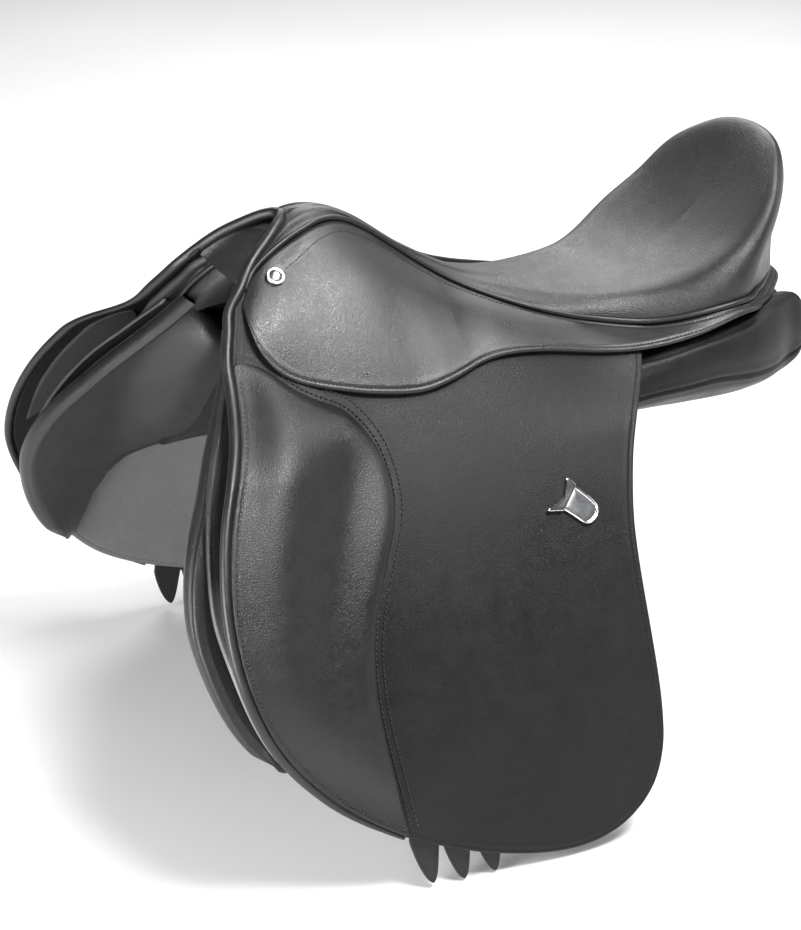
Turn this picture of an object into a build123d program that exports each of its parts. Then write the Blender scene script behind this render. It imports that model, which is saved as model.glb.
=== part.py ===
from build123d import *
import os
import math
import numpy as np

os.makedirs("parts", exist_ok=True)

# ----------------------------------------------------------------------------
# English saddle. Millimetres. +X runs from the pommel back to the cantle,
# -Y is the near (left) side, +Z is up. The origin is on the centre plane, in
# the gullet between the two panels, where the saddle sits on the back.
# ----------------------------------------------------------------------------

# driving dimensions
SEAT_LENGTH = 432.0          # 17 inch seat: stud to the middle of the cantle
FLAP_T = 4.5                 # saddle flap leather, lined
FLAP_N = 7.0                 # flap's inner face, measured out from the base surface
SWEAT_T = 4.0                # sweat flap leather
BILLET_W = 22.5              # girth strap width
BILLET_T = 3.4               # girth strap thickness
BILLET_N = 1.8               # girth strap inner face, out from the base surface
BILLET_PITCH = 24.0          # spacing of the three straps
BILLET_TOP = 16.0            # height of the strap tops
BILLET_TIP = -267.0          # height of the strap tips
BILLET_HOLE_R = 2.5
SKIRT_T = 4.2                # skirt leather
TREE_T = 8.0                 # laminated tree head
PLATE_T = 3.0                # steel head plate
SPRING_W, SPRING_T = 18.0, 1.6
BAR_W, BAR_T, BAR_L = 15.0, 4.5, 62.0   # stirrup bar
BAR_SLOT = 8.0               # gap behind the stirrup bar for the leather
BAR_X, BAR_Z = -131.0, 66.0  # where the bar sits on the tree head
HINGE_Z = 24.0               # flap fold line
HINGE_OUT = 1.5              # fold axis, out from the flap's outer face
STUD_R = 7.0
WELT_R = 2.6
PIPE_R = 3.0
GULLET_HALF = 30.0           # half the channel between the panels

# base surface: half width of the saddle's side at a height, the same all along
BASE_Z = [-320, -300, -250, -200, -150, -100, -50, -25, 0, 20, 40, 60, 80, 100, 110, 120, 128]
BASE_Y = [241, 238, 230, 219, 204.5, 184.5, 157, 140, 120.5, 103.5, 86, 69, 50.5, 32, 23, 13, 4]


def pchip(xs, ys):
    """Monotone cubic through the points."""
    x = np.array(xs, float)
    y = np.array(ys, float)
    h = np.diff(x)
    d = np.diff(y) / h
    m = np.zeros(len(x))
    for i in range(1, len(x) - 1):
        if d[i - 1] * d[i] > 0:
            w1 = 2 * h[i] + h[i - 1]
            w2 = h[i] + 2 * h[i - 1]
            m[i] = (w1 + w2) / (w1 / d[i - 1] + w2 / d[i])
    m[0], m[-1] = d[0], d[-1]

    def f(v):
        v = min(max(v, x[0]), x[-1])
        k = min(max(int(np.searchsorted(x, v)) - 1, 0), len(x) - 2)
        t = (v - x[k]) / h[k]
        return float((2 * t**3 - 3 * t**2 + 1) * y[k] + (t**3 - 2 * t**2 + t) * h[k] * m[k]
                     + (-2 * t**3 + 3 * t**2) * y[k + 1] + (t**3 - t**2) * h[k] * m[k + 1])
    return f


base = pchip(BASE_Z, BASE_Y)


def normal(z):
    """Outward normal of the base surface in the cross plane: (out, up)."""
    s = (base(z + 2) - base(z - 2)) / 4.0
    n = math.hypot(1.0, s)
    return 1.0 / n, -s / n


def off(z, n):
    """Point n millimetres out from the base surface: (half width, height)."""
    a, b = normal(z)
    return base(z) + n * a, z + n * b


def off_at(height, n):
    """The same, but for a wanted height of the offset point."""
    z = height
    for _ in range(12):
        z += height - off(z, n)[1]
    return off(z, n)


def strip(n0, n1, z0, z1, x0, x1, k=9):
    """Layer of the left side between two offsets, z0 (low) to z1 (high)."""
    zs = [z0 + (z1 - z0) * i / (k - 1) for i in range(k)]
    outer = [Vector(x0, -off_at(z, n1)[0], z) for z in zs]
    inner = [Vector(x0, -off_at(z, n0)[0], z) for z in zs]
    edges = [Edge.make_spline(outer), Edge.make_line(outer[-1], inner[-1]),
             Edge.make_spline(list(reversed(inner))), Edge.make_line(inner[0], outer[0])]
    return Solid.extrude(Face(Wire(edges)), Vector(x1 - x0, 0, 0))


def prism_xz(pts, y0=-300.0, y1=-1.0):
    """Side outline, given as (x, z), run across the left side."""
    w = Wire.make_polygon([Vector(x, y1, z) for x, z in pts], close=True)
    return Solid.extrude(Face(w), Vector(0, y0 - y1, 0))


def lofted(rows):
    """Closed solid through polygon sections with flat faces between them."""
    return Solid.make_loft([Wire.make_polygon([Vector(*p) for p in r], close=True) for r in rows], True)


def spline_loft(rows):
    """Closed solid through sections; each section is (curved points, closing line)."""
    wires = []
    for r in rows:
        pts = [Vector(*p) for p in r]
        wires.append(Wire([Edge.make_spline(pts), Edge.make_line(pts[-1], pts[0])]))
    return Solid.make_loft(wires, False)


def one(shape):
    """The largest solid of a boolean result."""
    s = shape.solids() if hasattr(shape, "solids") else [shape]
    s = sorted(s, key=lambda q: -q.volume)
    return s[0]


def cut(a, *tools):
    for t in tools:
        a = a - t
    return a


def mirrored(shape):
    return shape.mirror(Plane.XZ)


written = []


def write(name, shape):
    sols = shape.solids() if not isinstance(shape, Solid) else [shape]
    sols = [s for s in sols if s.volume > 1.0]
    out = sols[0] if len(sols) == 1 else Compound(children=list(sols)) if len(sols) > 1 else shape
    export_step(out, f"parts/{name}.step")
    written.append(name)


def both(name, left):
    write(name + "_left", left)
    write(name + "_right", mirrored(left))


def tube(points, r, radii=None):
    """Round cord along straight runs joined by tangent arcs."""
    pts = [Vector(*p) for p in points]
    rad = []
    for i in range(1, len(pts) - 1):
        a, b = pts[i] - pts[i - 1], pts[i + 1] - pts[i]
        turn = math.radians(a.get_angle(b))
        rad.append(0.45 * min(a.length, b.length) / max(math.tan(turn / 2), 1e-3))
    path = FilletPolyline(*pts, radius=rad)
    w = path.wire() if hasattr(path, "wire") else path
    start = Plane(origin=pts[0], z_dir=(pts[1] - pts[0]).normalized())
    t = sweep(start * Circle(r), path=w).solids()[0]
    print("cord: length", round(w.length, 1), "volume ratio", round(t.volume / (math.pi * r * r * w.length), 4),
          "smallest arc", round(min(rad), 1))
    return t


# --- saddle flap, sweat flap and knee pad outlines (x, z) --------------------
FLAP_FRONT = [(-212, 103), (-215, 96), (-220, 86), (-225, 76), (-229, 66), (-231, 56), (-234, 45), (-241, 29),
              (-249, 17), (-257, 4), (-265, -11), (-273, -33), (-277, -49), (-280, -66), (-279, -85), (-276, -110),
              (-268, -132), (-257, -156), (-240, -179), (-217, -202), (-197, -217), (-173, -232)]
FLAP_REST = [(-150, -243), (-120, -255), (-89, -264), (-58, -270), (-34, -270), (-17, -266), (-1, -259),
             (12, -250), (21, -238), (28, -223), (32, -208), (33.5, -190), (33.5, -173), (33, -152), (32, -128),
             (31.5, -104), (32, -85), (34, -66), (38, -48), (44, -31), (48, -19), (54, -8), (60, 2), (67, 13),
             (74, 23), (79, 30)]
SWEAT = [(-224, 66), (-229, 61), (-237, 48), (-246, 33), (-255, 19), (-268, -4), (-278, -31), (-283, -52),
         (-285, -74), (-281, -98), (-274, -129), (-262, -160), (-246, -180), (-220, -204), (-190, -222),
         (-150, -236), (-100, -246), (-50, -252), (-15, -250), (8, -238), (20, -220), (24, -190), (22, -120),
         (26, -60), (40, -20), (62, 10), (62, 20), (-40, 27), (-224, 27)]
PAD_REAR = [(-142, 6), (-141, -2), (-141, -15), (-146, -26), (-153, -39), (-163, -57), (-171, -73), (-176, -84),
            (-180, -101), (-183, -119), (-184, -137), (-183, -156), (-180, -180), (-176, -205), (-172, -226)]

hinge_z = HINGE_Z
flap_top_line = [(79, 34), (40, 35), (0, 37), (-30, 40), (-60, 38), (-80, 36), (-110, 40), (-150, 52), (-176, 72),
                 (-184, 92), (-190, 108), (-206, 112)]

flap_all = strip(FLAP_N, FLAP_N + FLAP_T, -285, 112, -300, 100, k=11)
flap_side = prism_xz(FLAP_FRONT + FLAP_REST + flap_top_line)
flap_body = one(flap_all & flap_side)
gap = 0.8
upper_cut = Pos(0, -150, hinge_z + gap / 2 + 300) * Box(800, 400, 600)
lower_cut = Pos(0, -150, hinge_z - gap / 2 - 300) * Box(800, 400, 600)
flap_top = one(flap_body & upper_cut)
flap = one(flap_body & lower_cut)

hy, hz = off_at(hinge_z, FLAP_N + FLAP_T + HINGE_OUT)
print("flap fold axis: y", round(-hy, 2), "z", round(hz, 2))

pad_front = [(x + 6.0, z) for x, z in FLAP_FRONT if z < 5]
pad_front = [(-250, 2)] + pad_front[1:-1]
pad_out = prism_xz([(-150, 6), (-236, 6)] + pad_front + [(-178, -224)] + list(reversed([(x - 3, z) for x, z in PAD_REAR[1:]])))
pad_sections = strip(FLAP_N + FLAP_T, FLAP_N + FLAP_T + 12.0, -240, 8, -300, -130, k=8)
knee_pad = one((pad_sections & pad_out) - flap)

sweat = one(strip(-SWEAT_T, 0.0, -262, 72, -300, 90, k=11) & prism_xz(SWEAT))

# --- girth straps ------------------------------------------------------------
# three straps hang between the flap and the sweat flap from a web on the tree
billet_x = [-152.0 + 11 + i * BILLET_PITCH for i in range(3)]
billets = []
for i, x in enumerate(billet_x):
    h = BILLET_W / 2
    out = [(x - h, BILLET_TOP), (x + h, BILLET_TOP), (x + h, BILLET_TIP + 16), (x + h * 0.55, BILLET_TIP + 5),
           (x, BILLET_TIP), (x - h * 0.55, BILLET_TIP + 5), (x - h, BILLET_TIP + 16)]
    b = one(strip(BILLET_N, BILLET_N + BILLET_T, BILLET_TIP - 3, BILLET_TOP + 3, x - h - 2, x + h + 2, k=9)
            & prism_xz(out))
    for j in range(8):
        z = BILLET_TIP + 45 + j * 25
        y, zz = off_at(z, BILLET_N)
        a, c = normal(z)
        hole = Solid.make_cylinder(BILLET_HOLE_R, 16, Plane(origin=(x, -y + 8 * a, zz - 8 * c), z_dir=(0, -a, c)))
        b = b - hole
    billets.append(one(b))

girth_web = one(strip(BILLET_N - 0.3, BILLET_N + BILLET_T, BILLET_TOP + 2.0, 46, -166, -70, k=5)
                & prism_xz([(-158, BILLET_TOP + 2.0), (-76, BILLET_TOP + 2.0), (-92, 45), (-140, 45)]))

# --- tree --------------------------------------------------------------------
def arch(n0, n1, zlow, x0, x1, ztop_in, ztop_out, front, rear_x):
    """Arch over the withers between two offsets, cut to a raked side outline."""
    def side(n, top):
        zs = [zlow + (118 - zlow) * i / 5 for i in range(6)]
        pts = []
        for z in zs:
            y, zz = off_at(z, n) if z < 112 else off(z - n, n)
            pts.append((y, z))
        return [p for p in pts if p[1] < top - 8]
    o = side(n1, ztop_out)
    i = side(n0, ztop_in)
    op = [Vector(x0, -y, z) for y, z in o] + [Vector(x0, 0, ztop_out)] + [Vector(x0, y, z) for y, z in reversed(o)]
    ip = [Vector(x0, -y, z) for y, z in i] + [Vector(x0, 0, ztop_in)] + [Vector(x0, y, z) for y, z in reversed(i)]
    w = Wire([Edge.make_spline(op), Edge.make_line(op[-1], ip[-1]),
              Edge.make_spline(list(reversed(ip))), Edge.make_line(ip[0], op[0])])
    body = Solid.extrude(Face(w), Vector(x1 - x0, 0, 0))
    pts = front + rear_x
    prof = Wire.make_polygon([Vector(x, 300, z) for x, z in pts], close=True)
    return one(body & Solid.extrude(Face(prof), Vector(0, -600, 0)))


HEAD_FRONT = [(-148, 150), (-150, 132), (-168, 122), (-190, 108), (-200, 92), (-205, 74), (-206, 50), (-206, 30)]
head_rear = [(-92, 30), (-92, 96), (-104, 118), (-116, 132), (-122, 150)]
tree_head = arch(-5.0 - TREE_T, -5.0, 31, -230, -80, 111, 120, HEAD_FRONT, head_rear)
PLATE_FRONT = [(x + 8, z) for x, z in HEAD_FRONT]
gullet_plate = arch(-5.2 - TREE_T - PLATE_T, -5.2 - TREE_T, 36, -230, -80, 107.5, 110.9, PLATE_FRONT,
                    [(-140, 30), (-140, 96), (-134, 150)])

# rails of the tree: two bowed boards from the head to the cantle
RAIL = [(-118, 44, 88), (-92, 38, 80), (-60, 36, 66), (-20, 40, 50), (20, 48, 38), (60, 58, 30), (100, 68, 28),
        (140, 72, 32), (176, 66, 40)]
rail_rows = []
for x, y, z in RAIL[1:]:
    rail_rows.append([(x, -y + 9, z + 1.5), (x, -y - 9, z - 4.5), (x, -y - 9, z - 13.5), (x, -y + 9, z - 7.5)])
tree_rail = lofted(rail_rows)

# cantle board: a bowed upright shell that backs the raised rear of the seat
CANTLE = [(-62, 178, 64), (-52, 196, 86), (-36, 212, 104), (-18, 222, 112), (0, 226, 115), (18, 222, 112),
          (36, 212, 104), (52, 196, 86), (62, 178, 64)]
rows = []
for y, x, zt in CANTLE:
    rows.append([(x, y, zt), (x + 7, y, zt - 4), (x + 10, y, 40), (x + 2, y, 40)])
tree_cantle = lofted(rows)

# springs: two flat strips on top of the rails
spring_rows = []
for x, y, z in RAIL[1:]:
    spring_rows.append([(x, -y + 6, z + 2.2), (x, -y - 6, z - 1.8), (x, -y - 6, z - 3.3), (x, -y + 6, z + 0.7)])
spring_rows = [[(p[0], p[1], p[2] + 1.6) for p in r] for r in spring_rows]
seat_spring = lofted(spring_rows)

# --- seat --------------------------------------------------------------------
# x, welt half width, welt height, crest half width, crest height, centre height
SEAT = [(-150, 20, 133.0, 12, 141.5, 144.0), (-130, 17.5, 138.5, 10, 143.5, 144.5), (-110, 17, 132.5, 9, 135.8, 136.5),
        (-90, 20, 118.5, 11, 122.0, 122.8), (-70, 24, 102.5, 13, 107.0, 108.3), (-50, 28.5, 88.5, 16, 94.0, 95.5),
        (-30, 33.5, 76.0, 20, 82.0, 84.0), (-10, 39, 66.5, 25, 73.5, 76.0), (10, 44.5, 58.0, 31, 66.5, 70.5),
        (30, 51, 51.0, 38, 61.5, 66.0), (50, 58, 46.0, 46, 58.5, 62.5), (70, 65.5, 43.0, 53, 57.5, 60.0),
        (93, 75, 41.0, 62, 59.0, 58.0), (110, 82, 42.0, 69, 63.0, 60.0), (130, 89, 45.5, 77, 70.0, 65.0),
        (150, 93, 49.0, 82, 79.0, 73.0), (170, 90, 50.0, 84, 91.0, 85.0), (185, 82, 48.0, 81.5, 104.0, 98.0),
        (200, 69, 46.0, 73, 120.0, 112.0), (215, 54, 42.0, 57, 132.0, 127.0), (228, 36, 39.0, 38, 140.0, 138.0),
        (240, 13, 37.0, 14, 143.0, 142.0)]


def seat_section(s, inset=0.0, drop=0.0):
    x, yw, zw, yc, zc, z0 = s
    bulge = 3.5 if x > -40 else 1.5
    yb = max(yw, yc) + bulge - inset
    zb = zw + 0.42 * (zc - zw)
    i = inset
    return [(x, -(yw - i), zw - drop), (x, -yb, zb), (x, -(yc - i * 0.7), zc - i * 0.8), (x, 0, z0 - i),
            (x, yc - i * 0.7, zc - i * 0.8), (x, yb, zb), (x, yw - i, zw - drop)]


seat_outer = spline_loft([seat_section(s) for s in SEAT])
inner_rows = [list(s) for s in SEAT]
inner_rows[0][0] = -147.5
inner_rows[-1][0] = 237.5
seat_inner = spline_loft([seat_section(s, 2.5, 0.0) for s in inner_rows])
seat_inner_deep = spline_loft([seat_section(s, 2.5, 6.0) for s in inner_rows])
seat_cover = one(seat_outer - seat_inner_deep)
seat_foam = one(seat_inner - tree_cantle)

# --- skirts ------------------------------------------------------------------
# stations: x, y, z of the seam at the welt, then of the lower edge (left side)
SK = [
    ((-203, -43, 105), (-208.5, -52, 100)),
    ((-196, -38.5, 113), (-209.5, -74, 82)),
    ((-180, -33, 124), (-194, -91, 59.5)),
    ((-160, -26, 131), (-166, -101, 49)),
    ((-140, -21, 137), (-142, -106, 43.5)),
    ((-120, -19, 137), (-118, -109, 39.5)),
    ((-100, -20, 127), (-98, -110, 38)),
    ((-80, -24, 112), (-80, -109, 40.5)),
    ((-60, -29, 96.5), (-62, -105, 44)),
    ((-42, -33, 84), (-45, -101, 48)),
    ((-20, -38.5, 72), (-22, -100.5, 50)),
    ((10, -47, 58.5), (12, -103, 47)),
    ((40, -57, 49), (44, -107, 42)),
    ((70, -68, 43.5), (74, -109, 39)),
    ((100, -80.5, 41.5), (106, -106, 37.5)),
    ((130, -91.5, 45.5), (138, -104, 40.5)),
    ((155, -95.5, 49.5), (163, -100, 44)),
    ((178, -89, 49.5), (186, -92, 43)),
    ((198, -74, 46.5), (206, -77, 40)),
    ((216, -56, 42.5), (224, -59, 36.5)),
    ((232, -34, 39.5), (240, -36, 33)),
    ((243, -12, 37.5), (251, -13, 31)),
    ((245, 0, 37), (253, 0, 30.5)),
]
N_LOBE0, N_LOBE1 = 1, 9       # stations that carry the lobe


def bulge_mid(T, L, t, amt):
    """Point t of the way from seam to edge, pushed out square to the chord."""
    T, L = np.array(T, float), np.array(L, float)
    p = T + (L - T) * t
    c = L - T
    # outward-up normal in the cross plane
    n = np.array([0.0, c[2], -c[1]])
    n = n / max(np.linalg.norm(n), 1e-6)
    if n[2] < 0:
        n = -n
    return tuple(p + n * amt)


def down(p, T, L, t):
    """Same point moved to the leather's inner face."""
    T, L = np.array(T, float), np.array(L, float)
    c = L - T
    n = np.array([0.0, c[2], -c[1]])
    n = n / max(np.linalg.norm(n), 1e-6)
    if n[2] < 0:
        n = -n
    return tuple(np.array(p, float) - n * t)


band_rows, lobe_rows = [], []
FOLD = {}
for i, (T, L) in enumerate(SK):
    full = np.linalg.norm(np.array(L, float) - np.array(T, float))
    if i <= N_LOBE1:
        tf = {0: 0.5, 1: 0.17, 2: 0.33, 3: 0.44, 4: 0.53, 5: 0.58, 6: 0.60, 7: 0.62, 8: 0.67, 9: 0.78}[i]
        amt = 6.0 * min(1.0, full / 90)
        F = bulge_mid(T, L, tf, amt * 4 * tf * (1 - tf))
        band_rows.append([T, F, down(F, T, L, SKIRT_T), down(T, T, L, SKIRT_T)])
        if i >= N_LOBE0:
            t2 = tf + (5.0 if i > 1 else 8.5) / full
            F2 = bulge_mid(T, L, t2, amt * 4 * t2 * (1 - t2))
            tm = (t2 + 1) / 2
            M = bulge_mid(T, L, tm, amt * 4 * tm * (1 - tm))
            lobe_rows.append([F2, M, L, down(L, T, L, SKIRT_T), down(M, T, L, SKIRT_T), down(F2, T, L, SKIRT_T)])
            FOLD[i] = F2
    else:
        if i < 22:
            band_rows.append([T, L, (L[0], L[1], L[2] - SKIRT_T), (T[0], T[1], T[2] - SKIRT_T)])
        else:
            band_rows.append([T, L, (L[0], L[1], L[2] - SKIRT_T), (T[0], T[1], T[2] - SKIRT_T)])
# flatten every station into its own cross plane (x constant) up to the rear turn
def plane_x(rows, n):
    out = []
    for k, r in enumerate(rows):
        if k < n:
            xm = sum(p[0] for p in r) / len(r)
            out.append([(xm, p[1], p[2]) for p in r])
        else:
            out.append(r)
    return out


band_rows = plane_x(band_rows, 17)
lobe_rows = plane_x(lobe_rows, 99)
skirt_band = lofted(band_rows)
skirt_lobe = lofted(lobe_rows)
print("fold points", {k: tuple(round(c, 1) for c in v) for k, v in FOLD.items()})


flap_top = one(flap_top - skirt_band)

# --- pommel and arch coverings -------------------------------------------------
pommel_cover = arch(6.5, 10.0, 113, -230, -140, 133.5, 137.5,
                    [(-151, 150), (-157, 139), (-177, 131), (-199, 117), (-204, 112)], [(-151, 112)])
pommel_cover = one(pommel_cover - skirt_band - mirrored(skirt_band))
arch_lining = arch(-19.4, -17.2, 68, -230, -80, 102.0, 106.0,
                   [(x + 4, z) for x, z in HEAD_FRONT if z > 60] + [(-198, 60)], [(-108, 60), (-108, 150)])

# --- panel: flocked cushions each side of the gullet ---------------------------
def side_pts(n, zs):
    return [off_at(z, n) for z in zs]


def panel_front(x, zs, n, inner):
    o = side_pts(n, zs)
    return [(x, -inner[0][0], inner[0][1])] + [(x, -y, z) for y, z in o] + [(x, -y, z) for y, z in inner[1:]]


PANEL = [
    panel_front(-202, (38, -22, -66), -18.0, [(30, 58), (112, -78), (33, 22)]),
    panel_front(-150, (40, -22, -84), -18.0, [(30, 62), (114, -92), (33, 24)]),
    panel_front(-91, (36, -22, -84), -18.0, [(30, 56), (114, -92), (34, 20)]),
    panel_front(-83, (30, -22, -84), -5.6, [(30, 52), (114, -92), (34, 17)]),
    panel_front(-30, (26, -22, -74), -5.6, [(30, 36), (110, -80), (35, 2)]),
    panel_front(20, (22, -16, -54), -5.6, [(30, 21), (96, -60), (35, -14)]),
    [(60, -30, 12), (60, -92, 24), (60, -104, 6), (60, -102, -20), (60, -62, -37), (60, -34, -22)],
    [(100, -30, 11), (100, -98, 30), (100, -106, 6), (100, -98, -20), (100, -62, -38), (100, -34, -24)],
    [(140, -30, 14), (140, -97, 33), (140, -103, 8), (140, -94, -19), (140, -62, -38), (140, -35, -24)],
    [(180, -30, 21), (180, -87, 35), (180, -94, 12), (180, -87, -15), (180, -60, -36), (180, -36, -22)],
    [(215, -32, 24), (215, -66, 31), (215, -79, 12), (215, -74, -10), (215, -56, -29), (215, -37, -14)],
    [(240, -34, 22), (240, -50, 26), (240, -60, 12), (240, -56, -4), (240, -48, -17), (240, -38, -6)],
    [(256, -38, 15), (256, -46, 17), (256, -50, 10), (256, -48, 2), (256, -44, -4), (256, -39, 0)],
]
rail_clear = lofted([[(r[0][0] + dx, p[1] + sy, p[2] + sz) for p, sy, sz in zip(r, (0.6, -0.6, -0.6, 0.6), (3, 3, -0.7, -0.7))]
                     for dx, r in zip([-1] + [0] * (len(rail_rows) - 2) + [1], rail_rows)])
panel = one(lofted(PANEL) - rail_clear)

ROLL_FRONT = [(-222, 60), (-226, 53), (-245, 24), (-265, -5), (-282, -29), (-293, -55), (-297, -70), (-298, -84),
              (-296, -96), (-291, -119), (-282, -141), (-270, -160), (-254, -175)]
ROLL_REAR = [(-228, -172), (-236, -140), (-244, -100), (-244, -60), (-232, -20), (-214, 20), (-206, 48), (-208, 60)]
knee_roll = one(strip(-34.0, -4.8, -180, 66, -305, -195, k=9) & prism_xz(ROLL_FRONT + ROLL_REAR))
panel = one(panel - knee_roll)

# --- stud on each skirt front --------------------------------------------------
T2, F2s = np.array((-182.5, -33.0, 124.0)), np.array((-182.5, -57.7, 104.6))
c = F2s - T2
nn = np.array([0.0, c[2], -c[1]])
nn = nn / np.linalg.norm(nn)
st = T2 + c * 0.53
stud_plane = Plane(origin=tuple(st + nn * 0.3), x_dir=(1, 0, 0), z_dir=tuple(nn))
dome = Solid.make_cylinder(STUD_R, 3.0).intersect(Solid.make_sphere(12.7, Plane(origin=(0, 0, -9.7))))
dome = one(dome if hasattr(dome, "solids") else ShapeList(dome))
stud = stud_plane * one(dome + Solid.make_cylinder(1.6, 4.0, Plane(origin=(0, 0, -3.9))))
stud_hole = stud_plane * Solid.make_cylinder(1.62, 8.0, Plane(origin=(0, 0, -6)))
skirt_band = one(skirt_band - stud_hole)

# --- stirrup bar, rivets, safety catch -----------------------------------------
ba, bb = normal(BAR_Z)
by, bz = off(BAR_Z, -4.6)
bar_plane = Plane(origin=(BAR_X, -by, bz), x_dir=(1, 0, 0), z_dir=(0, -ba, bb))
half = BAR_L / 2
z_bar = PLATE_T + BAR_SLOT
plate = Pos(0, 0, PLATE_T / 2) * Box(BAR_L + 6, BAR_W + 4, PLATE_T)
post = Pos(-half + 1.5, 0, (z_bar + PLATE_T) / 2) * Box(9, BAR_W, BAR_SLOT + 0.2)
bar = Pos(-2.0, 0, z_bar + BAR_T / 2) * Box(BAR_L + 2, BAR_W, BAR_T)
bar = fillet(bar.edges().filter_by(Axis.X), 1.5)
pin_x = half - 5.5
fork = Pos(pin_x + 2.5, 0, z_bar + BAR_T / 2) * Box(13, 8.0, 8)
PIN_R = 1.6
pin_z = z_bar + BAR_T / 2
pin_cut = Solid.make_cylinder(PIN_R, 40, Plane(origin=(pin_x, -20, pin_z), z_dir=(0, 1, 0)))
rivet_x = (-14.0, 14.0)
bar_local = plate + post + bar - fork - pin_cut
rivets = None
for rx in rivet_x:
    shank = Solid.make_cylinder(2.0, 10.0, Plane(origin=(rx, 0, -6.5)))
    rh = Solid.make_cone(3.6, 2.2, 1.4, Plane(origin=(rx, 0, PLATE_T)))
    rv = shank.fuse(rh) if not isinstance(shank, Compound) else shank + rh
    rivets = [rv] if rivets is None else rivets + [rv]
    bar_local = bar_local - Solid.make_cylinder(2.0, 10.0, Plane(origin=(rx, 0, -6.5)))
catch_local = (Pos(pin_x + 7.0, 0, pin_z) * Box(13.0, 6.8, 3.2)) + Solid.make_cylinder(2.2, 6.8, Plane(origin=(pin_x, -3.4, pin_z), z_dir=(0, 1, 0)))
catch_local = catch_local - Solid.make_cylinder(PIN_R + 0.05, 12, Plane(origin=(pin_x, -6, pin_z), z_dir=(0, 1, 0)))
pin_local = Solid.make_cylinder(PIN_R, BAR_W - 1.0, Plane(origin=(pin_x, -(BAR_W - 1.0) / 2, pin_z), z_dir=(0, 1, 0)))
stirrup_bar = bar_plane * one(bar_local)
catch = bar_plane * one(catch_local)
catch_pin = bar_plane * pin_local
bar_rivets = [bar_plane * r for r in rivets]
pc = bar_plane.from_local_coords((pin_x, 0, pin_z))
print("catch pivot", pc, "axis", bar_plane.y_dir)
for sgn in (1, -1):
    for r in bar_rivets:
        tree_head = tree_head - (r if sgn > 0 else mirrored(r))
tree_head = one(tree_head)

# head plate rivets
plate_rivets = []
for z in (46, 58):
    a, b2 = normal(z)
    y0, z0 = off(z, -16.95)
    o = (-176, -y0, z0)
    d = (0, -a, b2)
    rv = Solid.make_cylinder(2.2, 12.6, Plane(origin=o, z_dir=d)).fuse(
        Solid.make_cylinder(4.2, 0.7, Plane(origin=o, z_dir=d)))
    y1, z1 = off(z, -4.9)
    rv = one(rv.fuse(Solid.make_cone(4.2, 2.6, 1.3, Plane(origin=(-176, -y1, z1), z_dir=d))))
    plate_rivets += [rv, mirrored(rv)]
for r in plate_rivets:
    tree_head = tree_head - r
    gullet_plate = gullet_plate - r
tree_head, gullet_plate = one(tree_head), one(gullet_plate)

# --- strap keeper plate on the flap ---------------------------------------------
KEEP_X, KEEP_Z = -11.0, -41.0
ka, kb = normal(KEEP_Z)
ky, kz = off(KEEP_Z - 0, FLAP_N + FLAP_T + 0.12)
keep_plane = Plane(origin=(KEEP_X, -ky, kz), x_dir=(1, 0, 0), z_dir=(0, -ka, kb))
dz = kz - (-41.0)


def kpt(x, z):
    return (x - KEEP_X, (z - (KEEP_Z + dz)) / ka * 1.0)


shield = [kpt(-8, -28), (kpt(8, -44)), (kpt(9, -48)), (kpt(4, -54)), (kpt(-3, -55)), (kpt(-22, -42))]
horn = [kpt(-11, -24), kpt(-6, -27), kpt(-6.5, -30.5), kpt(-24, -43.5), kpt(-29, -45), kpt(-31, -41)]


def plate_from(pts, h0, h1):
    w = Wire.make_polygon([Vector(x, y, h0) for x, y in pts], close=True)
    return Solid.extrude(Face(w), Vector(0, 0, h1 - h0))


keeper = keep_plane * one(plate_from(shield, 0, 2.4) + plate_from(horn, 0, 4.2))

# --- seat webbing -----------------------------------------------------------------
web_rows = []
for s in SEAT[3:18]:
    x, zw = s[0], s[2]
    web_rows.append([(x, -17, zw - 1.2), (x, 17, zw - 1.2), (x, 17, zw - 2.7), (x, -17, zw - 2.7)])
seat_web_long = lofted(web_rows)
seat_web_cross = Pos(46, 0, 39.9) * Box(34, 116, 1.5)

# --- welts and piping -----------------------------------------------------------------
welt_pts = [(-202, -41.5, 108.5), (-193, -35.5, 118), (-178, -31, 127.5), (-160, -24.5, 134), (-140, -20, 140),
            (-124, -18, 140.5), (-104, -18.5, 132), (-82, -22, 116), (-60, -27, 99), (-38, -32.5, 84.2),
            (-12, -40, 70.8), (16, -49, 59.6), (44, -58.5, 51.2), (72, -69.5, 46.6), (100, -80.5, 44.8),
            (128, -90.5, 48.4), (152, -95.2, 52.2), (172, -92.5, 53), (188, -84, 51.8), (203, -70.5, 49.2),
            (218, -53.5, 45.6), (232, -33, 42.4), (240.5, -15, 40.8), (243.5, -1, 40.2)]
seat_welt = tube(welt_pts, WELT_R)

rim = [(-156.5, 0, 141), (-165, -10.5, 137.5), (-176.5, -20, 131), (-188, -26, 125), (-197, -31, 117.5),
       (-205, -37.5, 109.5)]
for x, z in FLAP_FRONT[:7]:
    y, zz = off_at(z, FLAP_N + FLAP_T / 2)
    rim.append((x - 2.0, -y, z))
rim = [rim[k] for k in range(len(rim)) if k != 6]
rim[-1] = (rim[-1][0] - 0.8, rim[-1][1] - 1.5, hinge_z + 3.2)
full_rim = list(reversed(rim)) + [(p[0], -p[1], p[2]) for p in rim[1:]]
pommel_piping = tube(full_rim, PIPE_R)

fp = []
for x, z in [(-246, 20.2), (-252, 11)] + [(x - 1.5, z) for x, z in FLAP_FRONT[9:]]:
    y, zz = off_at(z, FLAP_N + FLAP_T / 2)
    fp.append((x, -y, z))
flap_piping = tube(fp, PIPE_R)
knee_pad = one(knee_pad - flap_piping)
sweat = one(sweat - pommel_piping)

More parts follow.
